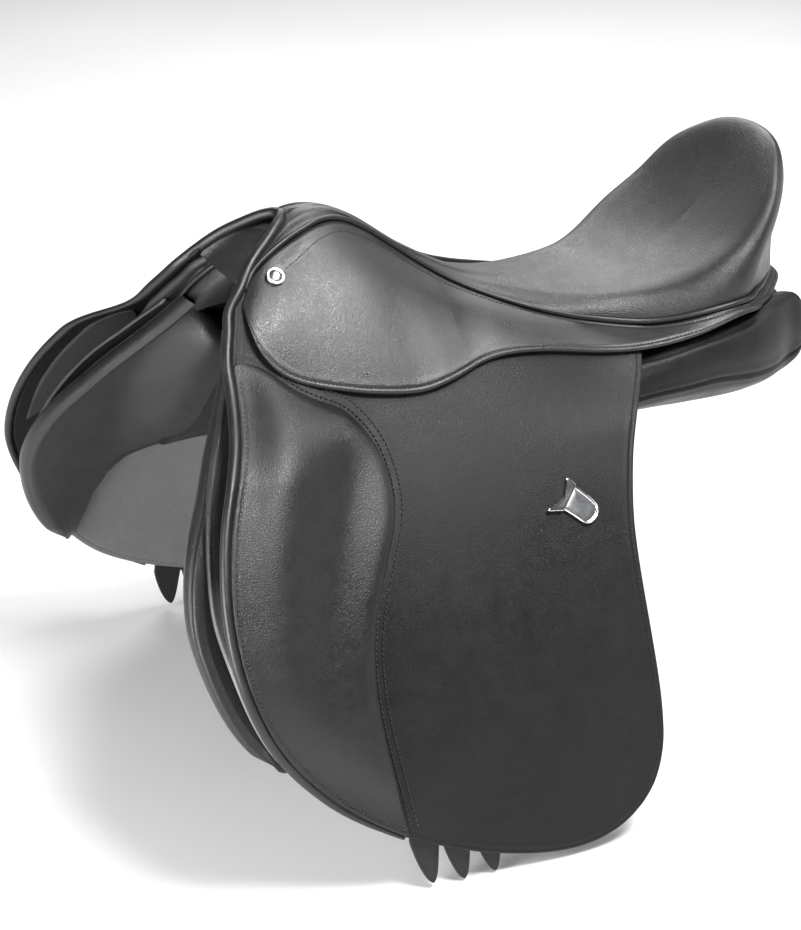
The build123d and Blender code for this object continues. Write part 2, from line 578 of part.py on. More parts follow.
# buckle guard: leather panel over the strap tops, and the point pocket on the panel
point_pocket = one(strip(-17.8, -16.4, 2, 30, -200, -140, k=5) & prism_xz([(-196, 28), (-150, 28), (-152, 6), (-190, 3)]))
panel = one(panel - point_pocket)

checks = dict(tree_head=tree_head, gullet_plate=gullet_plate, tree_rail=tree_rail, tree_cantle=tree_cantle,
              seat_cover=seat_cover, seat_foam=seat_foam, skirt_band=skirt_band, skirt_lobe=skirt_lobe, panel=panel,
              knee_roll=knee_roll, stud=stud, stirrup_bar=stirrup_bar, catch=catch, keeper=keeper,
              seat_welt=seat_welt, pommel_piping=pommel_piping, flap_piping=flap_piping, pommel_cover=pommel_cover,
              arch_lining=arch_lining, flap_top=flap_top, flap=flap, knee_pad=knee_pad, sweat=sweat)
for k, v in checks.items():
    if not v.is_valid:
        print("INVALID", k)

both("flap_top", flap_top)
both("flap", flap)
both("flap_piping", flap_piping)
both("knee_pad", knee_pad)
both("keeper", keeper)
both("sweat_flap", sweat)
both("girth_web", girth_web)
for i, b in enumerate(billets):
    both(f"billet_{i + 1}", b)
write("tree_head", tree_head)
write("gullet_plate", gullet_plate)
write("head_rivets", Compound(children=plate_rivets))
both("tree_rail", tree_rail)
write("tree_cantle", tree_cantle)
both("seat_spring", seat_spring)
write("seat_web_long", seat_web_long)
write("seat_web_cross", seat_web_cross)
write("seat_cover", seat_cover)
write("seat_foam", seat_foam)
both("seat_welt", seat_welt)
write("pommel_piping", pommel_piping)
write("pommel_cover", pommel_cover)
write("arch_lining", arch_lining)
both("skirt_band", skirt_band)
both("skirt", skirt_lobe)
both("stud", stud)
both("stirrup_bar", stirrup_bar)
both("catch", catch)
both("catch_pin", catch_pin)
write("bar_rivets_left", Compound(children=bar_rivets))
write("bar_rivets_right", Compound(children=[mirrored(r) for r in bar_rivets]))
both("panel", panel)
both("knee_roll", knee_roll)
both("point_pocket", point_pocket)
print(len(written), "nodes")
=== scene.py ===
import bpy
import math
import numpy as np
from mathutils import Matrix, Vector


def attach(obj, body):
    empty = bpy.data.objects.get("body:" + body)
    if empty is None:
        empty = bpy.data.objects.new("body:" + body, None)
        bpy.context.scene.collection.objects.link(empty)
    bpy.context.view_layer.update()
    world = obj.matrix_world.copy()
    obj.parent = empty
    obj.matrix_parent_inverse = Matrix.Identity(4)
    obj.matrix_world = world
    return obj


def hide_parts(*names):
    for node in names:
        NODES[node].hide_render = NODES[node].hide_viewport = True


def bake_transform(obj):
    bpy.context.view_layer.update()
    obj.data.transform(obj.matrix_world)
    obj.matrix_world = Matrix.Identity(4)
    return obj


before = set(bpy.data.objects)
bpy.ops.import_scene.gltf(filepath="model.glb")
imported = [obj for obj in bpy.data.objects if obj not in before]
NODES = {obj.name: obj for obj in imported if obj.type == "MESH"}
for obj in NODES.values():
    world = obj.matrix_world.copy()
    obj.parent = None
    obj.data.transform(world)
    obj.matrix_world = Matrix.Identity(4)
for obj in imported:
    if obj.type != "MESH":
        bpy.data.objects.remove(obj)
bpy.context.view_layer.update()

# =============================================================================
# Everything below is in millimetres in the row frame until a mesh is made.
# =============================================================================
BASE_Z = [-320, -300, -250, -200, -150, -100, -50, -25, 0, 20, 40, 60, 80, 100, 110, 120, 128]
BASE_Y = [241, 238, 230, 219, 204.5, 184.5, 157, 140, 120.5, 103.5, 86, 69, 50.5, 32, 23, 13, 4]
HINGE_Z = 24.0


def pchip(xs, ys):
    x, y = np.array(xs, float), np.array(ys, float)
    h, d = np.diff(x), np.diff(y) / np.diff(x)
    m = np.zeros(len(x))
    for i in range(1, len(x) - 1):
        if d[i - 1] * d[i] > 0:
            w1, w2 = 2 * h[i] + h[i - 1], h[i] + 2 * h[i - 1]
            m[i] = (w1 + w2) / (w1 / d[i - 1] + w2 / d[i])
    m[0], m[-1] = d[0], d[-1]

    def f(v):
        v = np.clip(np.asarray(v, float), x[0], x[-1])
        k = np.clip(np.searchsorted(x, v) - 1, 0, len(x) - 2)
        t = (v - x[k]) / h[k]
        return ((2 * t**3 - 3 * t**2 + 1) * y[k] + (t**3 - 2 * t**2 + t) * h[k] * m[k]
                + (-2 * t**3 + 3 * t**2) * y[k + 1] + (t**3 - t**2) * h[k] * m[k + 1])
    return f


base = pchip(BASE_Z, BASE_Y)


def bnormal(z):
    s = (base(z + 2) - base(z - 2)) / 4.0
    n = np.hypot(1.0, s)
    return 1.0 / n, -s / n


def on_side(x, z, n, side=-1):
    """Points at side-view place (x, height z), n out from the base surface."""
    x, z, n = np.broadcast_arrays(np.asarray(x, float), np.asarray(z, float), np.asarray(n, float))
    q = z.copy()
    for _ in range(14):
        a, b = bnormal(q)
        q = q + (z - (q + n * b)) * 0.9
    a, b = bnormal(q)
    y = base(q) + n * a
    return np.stack([x, side * y, z], -1)


def side_normal(z, side=-1):
    a, b = bnormal(np.asarray(z, float))
    return np.stack([0 * a, side * a, b], -1)


# --- curves ------------------------------------------------------------------
def cubic(points, closed=False, power=0.5):
    """Cubic spline through points, chord parameter to a power; returns f(u), knots."""
    P = np.asarray(points, float)
    if closed:
        k = 4
        P = np.vstack([P[-k:], P, P[:k + 1]])
    d = np.linalg.norm(np.diff(P, axis=0), axis=1) ** power
    d = np.maximum(d, 1e-6)
    t = np.concatenate([[0], np.cumsum(d)])
    n = len(P)
    A = np.zeros((n, n))
    B = np.zeros_like(P)
    A[0, 0] = A[-1, -1] = 1
    for i in range(1, n - 1):
        A[i, i - 1], A[i, i], A[i, i + 1] = d[i - 1], 2 * (d[i - 1] + d[i]), d[i]
        B[i] = 6 * ((P[i + 1] - P[i]) / d[i] - (P[i] - P[i - 1]) / d[i - 1])
    M = np.linalg.solve(A, B)

    def f(u):
        u = np.asarray(u, float)
        i = np.clip(np.searchsorted(t, u) - 1, 0, n - 2)
        h = d[i][..., None]
        a = (t[i + 1] - u)[..., None]
        b = (u - t[i])[..., None]
        return (M[i] * a**3 + M[i + 1] * b**3) / (6 * h) + (P[i] / h - M[i] * h / 6) * a + (P[i + 1] / h - M[i + 1] * h / 6) * b
    if closed:
        return f, t[4], t[4 + len(points)], t
    return f, t[0], t[-1], t


def dense(points, closed=False, k=24, power=0.5):
    f, a, b, t = cubic(points, closed, power)
    n = (len(points) + (0 if not closed else 0)) * k
    return f(np.linspace(a, b, n + 1))


def arc(P):
    return np.concatenate([[0], np.cumsum(np.linalg.norm(np.diff(P, axis=0), axis=1))])


def at(P, s):
    """Points at arc lengths s along the polyline P."""
    L = arc(P)
    return np.stack([np.interp(s, L, P[:, i]) for i in range(P.shape[1])], -1)


def even(points, n, smooth=True, closed=False, warp=None):
    P = dense(points, closed) if smooth else np.asarray(points, float)
    L = arc(P)[-1]
    u = np.linspace(0, 1, n)
    if warp is not None:
        u = warp(u)
    return at(P, u * L)


def relax(P, times=1, w=0.5):
    P = np.array(P, float)
    for _ in range(times):
        P[1:-1] = (1 - w) * P[1:-1] + w * 0.5 * (P[:-2] + P[2:])
    return P


def near(Q, line):
    """Distance in the plane from points Q (..., 2) to the polyline line."""
    Q = np.asarray(Q, float)
    shp = Q.shape[:-1]
    q = Q.reshape(-1, 2)
    A, B = line[:-1], line[1:]
    AB = B - A
    L2 = np.maximum((AB**2).sum(1), 1e-9)
    out = np.full(len(q), 1e9)
    for i in range(0, len(q), 4000):
        c = q[i:i + 4000]
        t = np.clip(((c[:, None] - A) * AB).sum(-1) / L2, 0, 1)
        d = np.linalg.norm(c[:, None] - (A + t[..., None] * AB), axis=-1)
        out[i:i + 4000] = d.min(1)
    return out.reshape(shp)


def sstep(v, a=0.0, b=1.0):
    t = np.clip((np.asarray(v, float) - a) / (b - a), 0, 1)
    return t * t * (3 - 2 * t)


def gauss(d, s):
    return np.exp(-(np.asarray(d, float) / s) ** 2)


def hashnoise(P, scale, seed=0):
    """Smooth value noise at points P (..., 3), feature size scale."""
    Q = np.asarray(P, float) / scale + seed * 17.3
    i = np.floor(Q).astype(np.int64)
    f = Q - i
    f = f * f * (3 - 2 * f)

    def h(a, b, c):
        n = (a * 374761393 + b * 668265263 + c * 2147483647 + seed * 974711) & 0x7FFFFFFF
        n = ((n ^ (n >> 13)) * 1274126177) & 0x7FFFFFFF
        n = (n ^ (n >> 16)) & 0x7FFFFFFF
        return n / 0x7FFFFFFF * 2 - 1
    v = 0
    for dx in (0, 1):
        for dy in (0, 1):
            for dz in (0, 1):
                w = (np.where(dx, f[..., 0], 1 - f[..., 0]) * np.where(dy, f[..., 1], 1 - f[..., 1])
                     * np.where(dz, f[..., 2], 1 - f[..., 2]))
                v = v + w * h(i[..., 0] + dx, i[..., 1] + dy, i[..., 2] + dz)
    return v


# --- how the leather is drawn in and flared ------------------------------------
FRONT_X = pchip([-232, -217.5, -201, -179, -156, -133, -110, -88, -68, -49, -30, -12, 3, 17, 31, 45, 56, 66, 76, 86, 96, 103],
                [-173, -196, -218, -240, -257, -268.5, -276, -279.5, -279.5, -277, -272, -265, -257, -249, -241, -235, -231.5, -229, -225, -220, -215, -212])
def FLARE(z):
    return 29.0 * sstep(z, -200, -95) * (1 - sstep(z, 8, 70))


def DRAWN(x):
    return 12.0 * gauss(x - 57, 54)


def WAIST(x):
    return 7.2 * sstep(x, -156, -106) * (1 - sstep(x, -92, 58))


FLARED = (("flap_leather", 1.0), ("flap_facing", 1.0), ("knee_pad_cover", 1.0), ("stitch_flap_edge", 1.0), ("stitch_pad", 1.0), ("stitch_lens", 1.0), ("rim_piping", 1.0),
          ("sweat_flap", 0.16), ("stitch_sweat", 0.16), ("front_roll", 0.06))


def drawn_in(name, V):
    """The seat's waist and the skirt's rear half are drawn in towards the tree; the front of each flap stands off the panel."""
    s = np.where(V[:, 1] < 0, 1.0, -1.0)
    ay = np.abs(V[:, 1])
    x, z = V[:, 0], V[:, 2]
    t = DRAWN(x) * sstep(ay, 48, 94) * sstep(z, -8, 36)
    t = t + WAIST(x) * sstep(ay, 4, 15) * (1 - sstep(ay, 24, 62)) * sstep(z, 45, 62)
    out = V + np.stack([0.487 * t, s * t, -0.511 * t], -1)
    if not name.startswith(("panel", "gullet")):
        t = 9.0 * sstep(x, 120, 215) * sstep(ay, -4, 52) * (1 - sstep(ay, 76, 104)) * sstep(z, 10, 24) * (1 - sstep(z, 56, 126))
        out = out + np.stack([-t, 0 * t, 0 * t], -1)
    for key, amount in FLARED:
        if name.startswith(key):
            d = x - FRONT_X(np.clip(z, -232, 103))
            f = amount * FLARE(z) * (1 - sstep(d, -4, 104))
            out = out + np.stack([-0.25 * f, -s * f, 0.25 * f], -1)
    return out


# --- meshes -------------------------------------------------------------------
MATS = {}


def make(name, verts, faces, mat, weld=0.0, flip=False, smooth=True):
    """Mesh object from millimetre points and faces."""
    V = drawn_in(name, np.asarray(verts, float).reshape(-1, 3)) * 0.001
    me = bpy.data.meshes.new(name)
    F = [tuple(int(i) for i in (reversed(f) if flip else f)) for f in faces]
    me.from_pydata(V.tolist(), [], F)
    me.validate(clean_customdata=False)
    if weld > 0:
        import bmesh
        bm = bmesh.new()
        bm.from_mesh(me)
        bmesh.ops.remove_doubles(bm, verts=bm.verts, dist=weld * 0.001)
        bmesh.ops.dissolve_degenerate(bm, edges=bm.edges, dist=1e-7)
        bm.to_mesh(me)
        bm.free()
    me.update()
    if smooth:
        me.polygons.foreach_set("use_smooth", [True] * len(me.polygons))
    ob = bpy.data.objects.new(name, me)
    bpy.context.scene.collection.objects.link(ob)
    if mat is not None:
        me.materials.append(MATS[mat])
    return ob


def gridf(nu, nv, o=0, cu=False, cv=False):
    """Faces of a grid of nu rows by nv columns, index = o + i * nv + j."""
    F = []
    for i in range(nu if cu else nu - 1):
        for j in range(nv if cv else nv - 1):
            i2, j2 = (i + 1) % nu, (j + 1) % nv
            F.append((o + i * nv + j, o + i * nv + j2, o + i2 * nv + j2, o + i2 * nv + j))
    return F


def fix_normals(ob):
    import bmesh
    bm = bmesh.new()
    bm.from_mesh(ob.data)
    bmesh.ops.recalc_face_normals(bm, faces=bm.faces)
    bm.to_mesh(ob.data)
    bm.free()
    return ob


def frames(P, up=None, closed=False):
    """Tangents, normals and binormals that turn as little as possible."""
    T = np.gradient(P, axis=0)
    if closed:
        T = np.roll(P, -1, 0) - np.roll(P, 1, 0)
    T /= np.maximum(np.linalg.norm(T, axis=1, keepdims=True), 1e-9)
    if up is None:
        up = np.array([0.0, 0.0, 1.0]) if abs(T[0, 2]) < 0.9 else np.array([1.0, 0, 0])
    N = np.zeros_like(P)
    n = up - T[0] * (T[0] @ up)
    N[0] = n / np.linalg.norm(n)
    for i in range(1, len(P)):
        n = N[i - 1] - T[i] * (T[i] @ N[i - 1])
        N[i] = n / np.linalg.norm(n)
    return T, N, np.cross(T, N)


def cordmesh(name, P, r, mat, seg=14, caps=True, closed=False, squashf=None):
    P = np.asarray(P, float)
    T, N, B = frames(P, closed=closed)
    r = np.broadcast_to(np.asarray(r, float), (len(P),)).copy()
    a = np.linspace(0, 2 * np.pi, seg, endpoint=False)
    ca, sa = np.cos(a), np.sin(a)
    V = P[:, None] + r[:, None, None] * (N[:, None] * ca[None, :, None] + B[:, None] * sa[None, :, None])
    V = V.reshape(-1, 3)
    F = gridf(len(P), seg, 0, closed, True)
    if caps and not closed:
        for end in (0, -1):
            c, t, n, b, rr = P[end], T[end] * (-1 if end == 0 else 1), N[end], B[end], r[end]
            prev = [(0 if end == 0 else (len(P) - 1) * seg) + k for k in range(seg)]
            for lat in (0.35, 0.7, 0.93):
                o = len(V)
                ring = c + t * rr * lat + rr * math.sqrt(1 - lat * lat) * (n * ca[:, None] + b * sa[:, None])
                V = np.vstack([V, ring])
                cur = list(range(o, o + seg))
                for k in range(seg):
                    k2 = (k + 1) % seg
                    f = (prev[k], prev[k2], cur[k2], cur[k])
                    F.append(f if end == -1 else tuple(reversed(f)))
                prev = cur
            o = len(V)
            V = np.vstack([V, [c + t * rr]])
            for k in range(seg):
                f = (prev[k], prev[(k + 1) % seg], o)
                F.append(f if end == -1 else tuple(reversed(f)))
    return make(name, V, F, mat)


def stitches(name, P, Nrm, mat="thread", pitch=3.4, length=2.5, width=0.85, height=0.55, sink=0.0, slant=0.0, trim=2.0, skip=None):
    """A row of sewn stitches along P with surface normals Nrm."""
    P, Nrm = np.asarray(P, float), np.asarray(Nrm, float)
    L = arc(P)
    total = L[-1] - 2 * trim
    k = max(int(total / pitch), 1)
    s = trim + (np.arange(k) + 0.5) * total / k
    C = at(P, s)
    A, Bp = at(P, s - 0.6), at(P, s + 0.6)
    T = Bp - A
    T /= np.linalg.norm(T, axis=1, keepdims=True)
    Nn = np.stack([np.interp(s, L, Nrm[:, i]) for i in range(3)], -1)
    Nn -= T * (T * Nn).sum(1, keepdims=True)
    Nn /= np.linalg.norm(Nn, axis=1, keepdims=True)
    S = np.cross(Nn, T)
    if slant:
        c, si = math.cos(slant), math.sin(slant)
        T, S = T * c + S * si, -T * si + S * c
    C = C - Nn * sink
    us = [-1, -0.86, -0.45, 0.45, 0.86, 1]
    rs = [0.05, 0.62, 1.0, 1.0, 0.62, 0.05]
    hs = [-0.7, -0.15, 0.0, 0.0, -0.15, -0.7]
    seg = 6
    ang = np.linspace(0, 2 * np.pi, seg, endpoint=False)
    V, F = [], []
    tmpl = []
    for u, r, hh in zip(us, rs, hs):
        for a_ in ang:
            tmpl.append((u * length / 2, r * math.cos(a_) * width / 2, (r * math.sin(a_) + hh) * height))
    tmpl = np.array(tmpl)
    nv = len(tmpl)
    V = C[:, None] + T[:, None] * tmpl[None, :, 0:1] + S[:, None] * tmpl[None, :, 1:2] + Nn[:, None] * tmpl[None, :, 2:3]
    tf = gridf(len(us), seg, 0, False, True) + [tuple(reversed(range(seg))), tuple(range(nv - seg, nv))]
    for i in range(len(C)):
        F += [tuple(j + i * nv for j in f) for f in tf]
    return make(name, V.reshape(-1, 3), F, mat)


def mir(V):
    V = np.array(V, float)
    V[..., 1] *= -1
    return V


def coons(front, rear, top, bottom):
    """(nv, nu, 2) grid between four sides; front and rear run down, top and bottom run back."""
    nv, nu = len(front), len(top)
    v = arc(front)[:, None] / arc(front)[-1]
    v2 = arc(rear)[:, None] / arc(rear)[-1]
    u = arc(top) / arc(top)[-1]
    u2 = arc(bottom) / arc(bottom)[-1]
    V = (v + v2) / 2
    U = u[None, :] * (1 - V) + u2[None, :] * V
    V3, U3 = V[..., None], U[..., None]
    G = (1 - U3) * front[:, None] + U3 * rear[:, None] + (1 - V3) * top[None] + V3 * bottom[None]
    G -= ((1 - U3) * (1 - V3) * top[0] + U3 * (1 - V3) * top[-1] + (1 - U3) * V3 * bottom[0] + U3 * V3 * bottom[-1])
    return G


def cosw(u, k=0.85):
    return (1 - k) * u + k * 0.5 * (1 - np.cos(np.pi * u))


def slab(name, G, outer, inner, mat, side):
    """Closed leather piece: outer and inner (nv, nu, 3) grids that share their rim."""
    nv, nu = outer.shape[:2]
    V = np.vstack([outer.reshape(-1, 3), inner.reshape(-1, 3)])
    F = gridf(nv, nu, 0)
    F += [tuple(reversed(f)) for f in gridf(nv, nu, nv * nu)]
    o = nv * nu
    rim = [(0, j) for j in range(nu)] + [(i, nu - 1) for i in range(1, nv)] + [(nv - 1, j) for j in range(nu - 2, -1, -1)] + [(i, 0) for i in range(nv - 2, 0, -1)]
    idx = [i * nu + j for i, j in rim]
    for a, b in zip(idx, idx[1:] + idx[:1]):
        F.append((b, a, a + o, b + o))
    ob = make(name, V if side < 0 else mir(V), F, mat, weld=0.02)
    return fix_normals(ob)


SIDES = ((-1, "left"), (1, "right"))


# =============================================================================
# Materials: procedural, object coordinates in metres
# =============================================================================
def material(name):
    m = bpy.data.materials.new(name)
    m.use_nodes = True
    nt = m.node_tree
    nt.nodes.clear()
    out = nt.nodes.new("ShaderNodeOutputMaterial")
    b = nt.nodes.new("ShaderNodeBsdfPrincipled")
    nt.links.new(b.outputs[0], out.inputs[0])
    MATS[name] = m
    return nt, b


def node(nt, kind, **kw):
    n = nt.nodes.new(kind)
    for k, v in kw.items():
        if k in n.inputs.keys():
            n.inputs[k].default_value = v
        else:
            setattr(n, k, v)
    return n


def coords(nt, scale=(1, 1, 1)):
    tc = nt.nodes.new("ShaderNodeTexCoord")
    mp = nt.nodes.new("ShaderNodeMapping")
    mp.inputs["Scale"].default_value = scale
    nt.links.new(tc.outputs["Object"], mp.inputs["Vector"])
    return mp.outputs[0]


def noise(nt, vec, scale, detail=4.0, rough=0.55, lac=2.0):
    n = node(nt, "ShaderNodeTexNoise")
    n.inputs["Scale"].default_value = scale
    n.inputs["Detail"].default_value = detail
    n.inputs["Roughness"].default_value = rough
    nt.links.new(vec, n.inputs["Vector"])
    return n.outputs["Fac"]


def ramp(nt, fac, stops):
    r = nt.nodes.new("ShaderNodeValToRGB")
    el = r.color_ramp.elements
    while len(el) > 1:
        el.remove(el[-1])
    el[0].position, el[0].color = stops[0][0], (*stops[0][1], 1)
    for p, c in stops[1:]:
        e = el.new(p)
        e.color = (*c, 1)
    nt.links.new(fac, r.inputs[0])
    return r.outputs[0]


def mapr(nt, fac, a, b, lo=0.0, hi=1.0):
    n = nt.nodes.new("ShaderNodeMapRange")
    n.inputs["From Min"].default_value = lo
    n.inputs["From Max"].default_value = hi
    n.inputs["To Min"].default_value = a
    n.inputs["To Max"].default_value = b
    nt.links.new(fac, n.inputs["Value"])
    return n.outputs[0]


def math_(nt, op, a, b):
    n = nt.nodes.new("ShaderNodeMath")
    n.operation = op
    for i, v in enumerate((a, b)):
        if isinstance(v, (int, float)):
            n.inputs[i].default_value = v
        else:
            nt.links.new(v, n.inputs[i])
    return n.outputs[0]


def bump(nt, height, strength, dist, prev=None):
    n = nt.nodes.new("ShaderNodeBump")
    n.inputs["Strength"].default_value = strength
    n.inputs["Distance"].default_value = dist
    nt.links.new(height, n.inputs["Height"])
    if prev is not None:
        nt.links.new(prev, n.inputs["Normal"])
    return n.outputs[0]


def leather(name, dark, light, rough, grain=1.3, depth=0.00012, creases=0.3, coat=0.0, coat_rough=0.3, worn=0.5, stretch=(1, 1, 1), spec=0.5, painted_light_below=False):
    """Fine-grained leather: tone drifts over centimetres, pores and creases in the bump, dry patches in the roughness."""
    nt, b = material(name)
    v = coords(nt, stretch)
    big = noise(nt, v, 9.0, 3.0, 0.5)
    mid = noise(nt, v, 70.0, 6.0, 0.62)
    fine = noise(nt, v, 900.0 / grain, 3.0, 0.6)
    vor = node(nt, "ShaderNodeTexVoronoi", feature="DISTANCE_TO_EDGE")
    vor.inputs["Scale"].default_value = 1000.0 / grain
    warp = nt.nodes.new("ShaderNodeVectorMath")
    warp.operation = "MULTIPLY_ADD"
    wn = node(nt, "ShaderNodeTexNoise")
    wn.inputs["Scale"].default_value = 350.0 / grain
    nt.links.new(v, wn.inputs["Vector"])
    nt.links.new(wn.outputs["Color"], warp.inputs[0])
    warp.inputs[1].default_value = (0.0012, 0.0012, 0.0012)
    nt.links.new(v, warp.inputs[2])
    nt.links.new(warp.outputs[0], vor.inputs["Vector"])
    pore = mapr(nt, vor.outputs["Distance"], 0.0, 1.0, 0.0, 0.22)
    # tone
    t = math_(nt, "ADD", math_(nt, "MULTIPLY", big, 0.55), math_(nt, "MULTIPLY", mid, 0.45))
    lo, hi = np.array(dark), np.array(light)
    col = ramp(nt, t, [(0.32, tuple(lo)), (0.5, tuple((lo + hi) / 2)), (0.68, tuple(hi))])
    # painted light, used for the sweat flaps: the colour is kept below z -105 mm and mixed to near-black leather
    # (0.012) by z -45 mm, so the pale painted light sits on the lower part only
    if painted_light_below:
        sx = nt.nodes.new("ShaderNodeSeparateXYZ")
        nt.links.new(v, sx.inputs[0])
        up = nt.nodes.new("ShaderNodeMix")
        up.data_type = "RGBA"
        nt.links.new(mapr(nt, sx.outputs["Z"], 0.0, 1.0, -0.105, -0.045), up.inputs[0])
        nt.links.new(col, up.inputs[6])
        up.inputs[7].default_value = (0.012, 0.012, 0.0124, 1)
        col = up.outputs[2]
    geo = nt.nodes.new("ShaderNodeNewGeometry")
    edge = mapr(nt, geo.outputs["Pointiness"], 0.0, worn, 0.52, 0.60)
    edge = math_(nt, "MULTIPLY", edge, mapr(nt, mid, 0.3, 1.0, 0.35, 0.7))
    mix = nt.nodes.new("ShaderNodeMix")
    mix.data_type = "RGBA"
    nt.links.new(edge, mix.inputs[0])
    nt.links.new(col, mix.inputs[6])
    mix.inputs[7].default_value = (*(hi * 1.6 + 0.003), 1)
    mul = nt.nodes.new("ShaderNodeMix")
    mul.data_type = "RGBA"
    mul.blend_type = "MULTIPLY"
    nt.links.new(mapr(nt, pore, 0.35, 0.0), mul.inputs[0])
    nt.links.new(mix.outputs[2], mul.inputs[6])
    mul.inputs[7].default_value = (0.25, 0.25, 0.25, 1)
    nt.links.new(mul.outputs[2], b.inputs["Base Color"])
    # gloss: fine mottling
    r = math_(nt, "ADD", mapr(nt, mid, rough - 0.055, rough + 0.055, 0.3, 0.7), mapr(nt, fine, -0.03, 0.03, 0.3, 0.7))
    r = math_(nt, "ADD", r, mapr(nt, big, -0.04, 0.04, 0.35, 0.65))
    nt.links.new(r, b.inputs["Roughness"])
    b.inputs["Specular IOR Level"].default_value = spec
    if coat:
        b.inputs["Coat Weight"].default_value = coat
        b.inputs["Coat Roughness"].default_value = coat_rough
    # relief
    h = math_(nt, "ADD", math_(nt, "MULTIPLY", pore, 0.7), math_(nt, "MULTIPLY", fine, 0.5))
    n1 = bump(nt, h, 1.0, depth)
    wr = node(nt, "ShaderNodeTexNoise")
    wr.inputs["Scale"].default_value = 38.0
    wr.inputs["Detail"].default_value = 5.0
    wr.inputs["Distortion"].default_value = 0.8
    nt.links.new(v, wr.inputs["Vector"])
    n2 = bump(nt, wr.outputs["Fac"], creases, 0.0016, n1)
    nt.links.new(n2, b.inputs["Normal"])
    return b


def metal(name, col, rough, brushed=0.0, axis=(1, 60, 60), tarnish=0.25):
    nt, b = material(name)
    v = coords(nt)
    vb = coords(nt, axis)
    big = noise(nt, v, 40.0, 5.0, 0.6)
    fine = noise(nt, vb, 160.0, 4.0, 0.6)
    c = np.array(col)
    cc = ramp(nt, big, [(0.3, tuple(c * (1 - tarnish))), (0.65, tuple(c))])
    nt.links.new(cc, b.inputs["Base Color"])
    b.inputs["Metallic"].default_value = 1.0
    r = math_(nt, "ADD", mapr(nt, big, rough, rough + 0.12, 0.35, 0.75), mapr(nt, fine, -0.03, 0.05 + brushed * 0.15, 0.3, 0.7))
    nt.links.new(r, b.inputs["Roughness"])
    nt.links.new(bump(nt, fine, 0.15 + brushed, 0.00006), b.inputs["Normal"])
    return b


K = 1.0
leather("flap_leather", (0.0080, 0.0080, 0.0083), (0.0125, 0.0125, 0.0130), 0.45, grain=1.3, depth=0.00012, creases=0.10, spec=0.20)
leather("skirt_leather", (0.0100, 0.0100, 0.0103), (0.0160, 0.0160, 0.0165), 0.36, grain=1.1, depth=0.00009, creases=0.10, spec=0.5)
leather("pad_leather", (0.0070, 0.0070, 0.0073), (0.0110, 0.0110, 0.0115), 0.41, grain=1.4, depth=0.00012, creases=0.07, spec=0.38)
leather("seat_leather", (0.0100, 0.0100, 0.0103), (0.0160, 0.0160, 0.0165), 0.40, grain=1.5, depth=0.00015, creases=0.14, spec=0.5)
leather("cushion_leather", (0.0070, 0.0070, 0.0073), (0.0115, 0.0115, 0.0120), 0.44, grain=1.4, depth=0.00012, creases=0.20, spec=0.22)
leather("panel_leather", (0.0085, 0.0085, 0.0088), (0.0145, 0.0145, 0.0150), 0.36, grain=1.4, depth=0.00012, creases=0.20, spec=0.45)
leather("lining_leather", (0.0110, 0.0110, 0.0113), (0.0190, 0.0190, 0.0197), 0.44, grain=1.0, depth=0.00009, creases=0.2, spec=0.4)
# sweat_leather is painted light: its pale grey stands in for the light falling on the inner faces of the sweat flaps,
# not a paler leather; painted_light_below keeps it to the lower part
leather("sweat_leather", (0.135, 0.135, 0.138), (0.190, 0.190, 0.195), 0.45, grain=1.2, depth=0.0001, creases=0.25, worn=0.3, painted_light_below=True)
leather("piping_leather", (0.0060, 0.0060, 0.0062), (0.0105, 0.0105, 0.0110), 0.37, grain=0.9, depth=0.00005, creases=0.04, spec=0.45)
leather("strap_leather", (0.0075, 0.0073, 0.0072), (0.0145, 0.0140, 0.0137), 0.50, grain=1.2, depth=0.00012, creases=0.35, worn=0.8, spec=0.35)
leather("suede", (0.030, 0.030, 0.031), (0.046, 0.046, 0.048), 0.85, grain=0.7, depth=0.0002, creases=0.3, spec=0.2)
metal("bright_metal", (0.60, 0.60, 0.61), 0.15, 0.0, tarnish=0.12)
metal("brushed_metal", (0.27, 0.275, 0.28), 0.28, 0.3, axis=(1, 1, 40), tarnish=0.2)
metal("forged_steel", (0.52, 0.53, 0.55), 0.34, 0.3, tarnish=0.35)
metal("blued_steel", (0.16, 0.18, 0.24), 0.32, 0.2, tarnish=0.4)


def thread_material():
    nt, b = material("thread")
    v = coords(nt)
    w = node(nt, "ShaderNodeTexWave", wave_type="BANDS", bands_direction="DIAGONAL")
    w.inputs["Scale"].default_value = 700.0
    w.inputs["Distortion"].default_value = 1.5
    nt.links.new(v, w.inputs["Vector"])
    n = noise(nt, v, 300.0, 3.0)
    nt.links.new(ramp(nt, n, [(0.3, (0.004, 0.004, 0.0042)), (0.7, (0.011, 0.011, 0.0115))]), b.inputs["Base Color"])
    nt.links.new(mapr(nt, n, 0.5, 0.66), b.inputs["Roughness"])
    nt.links.new(bump(nt, w.outputs["Fac"], 0.6, 0.00012), b.inputs["Normal"])


def wood_material():
    nt, b = material("tree_laminate")
    v = coords(nt, (1, 1, 9))
    w = node(nt, "ShaderNodeTexWave", wave_type="BANDS", bands_direction="Z")
    w.inputs["Scale"].default_value = 26.0
    w.inputs["Distortion"].default_value = 2.5
    w.inputs["Detail"].default_value = 4.0
    w.inputs["Detail Scale"].default_value = 3.0
    nt.links.new(v, w.inputs["Vector"])
    f = noise(nt, coords(nt, (4, 60, 60)), 12.0, 6.0)
    t = math_(nt, "ADD", math_(nt, "MULTIPLY", w.outputs["Fac"], 0.6), math_(nt, "MULTIPLY", f, 0.4))
    nt.links.new(ramp(nt, t, [(0.2, (0.016, 0.012, 0.009)), (0.55, (0.026, 0.020, 0.015)), (0.85, (0.038, 0.029, 0.021))]), b.inputs["Base Color"])
    nt.links.new(mapr(nt, f, 0.3, 0.5), b.inputs["Roughness"])
    nt.links.new(bump(nt, t, 0.3, 0.0002), b.inputs["Normal"])
    b.inputs["Coat Weight"].default_value = 0.3


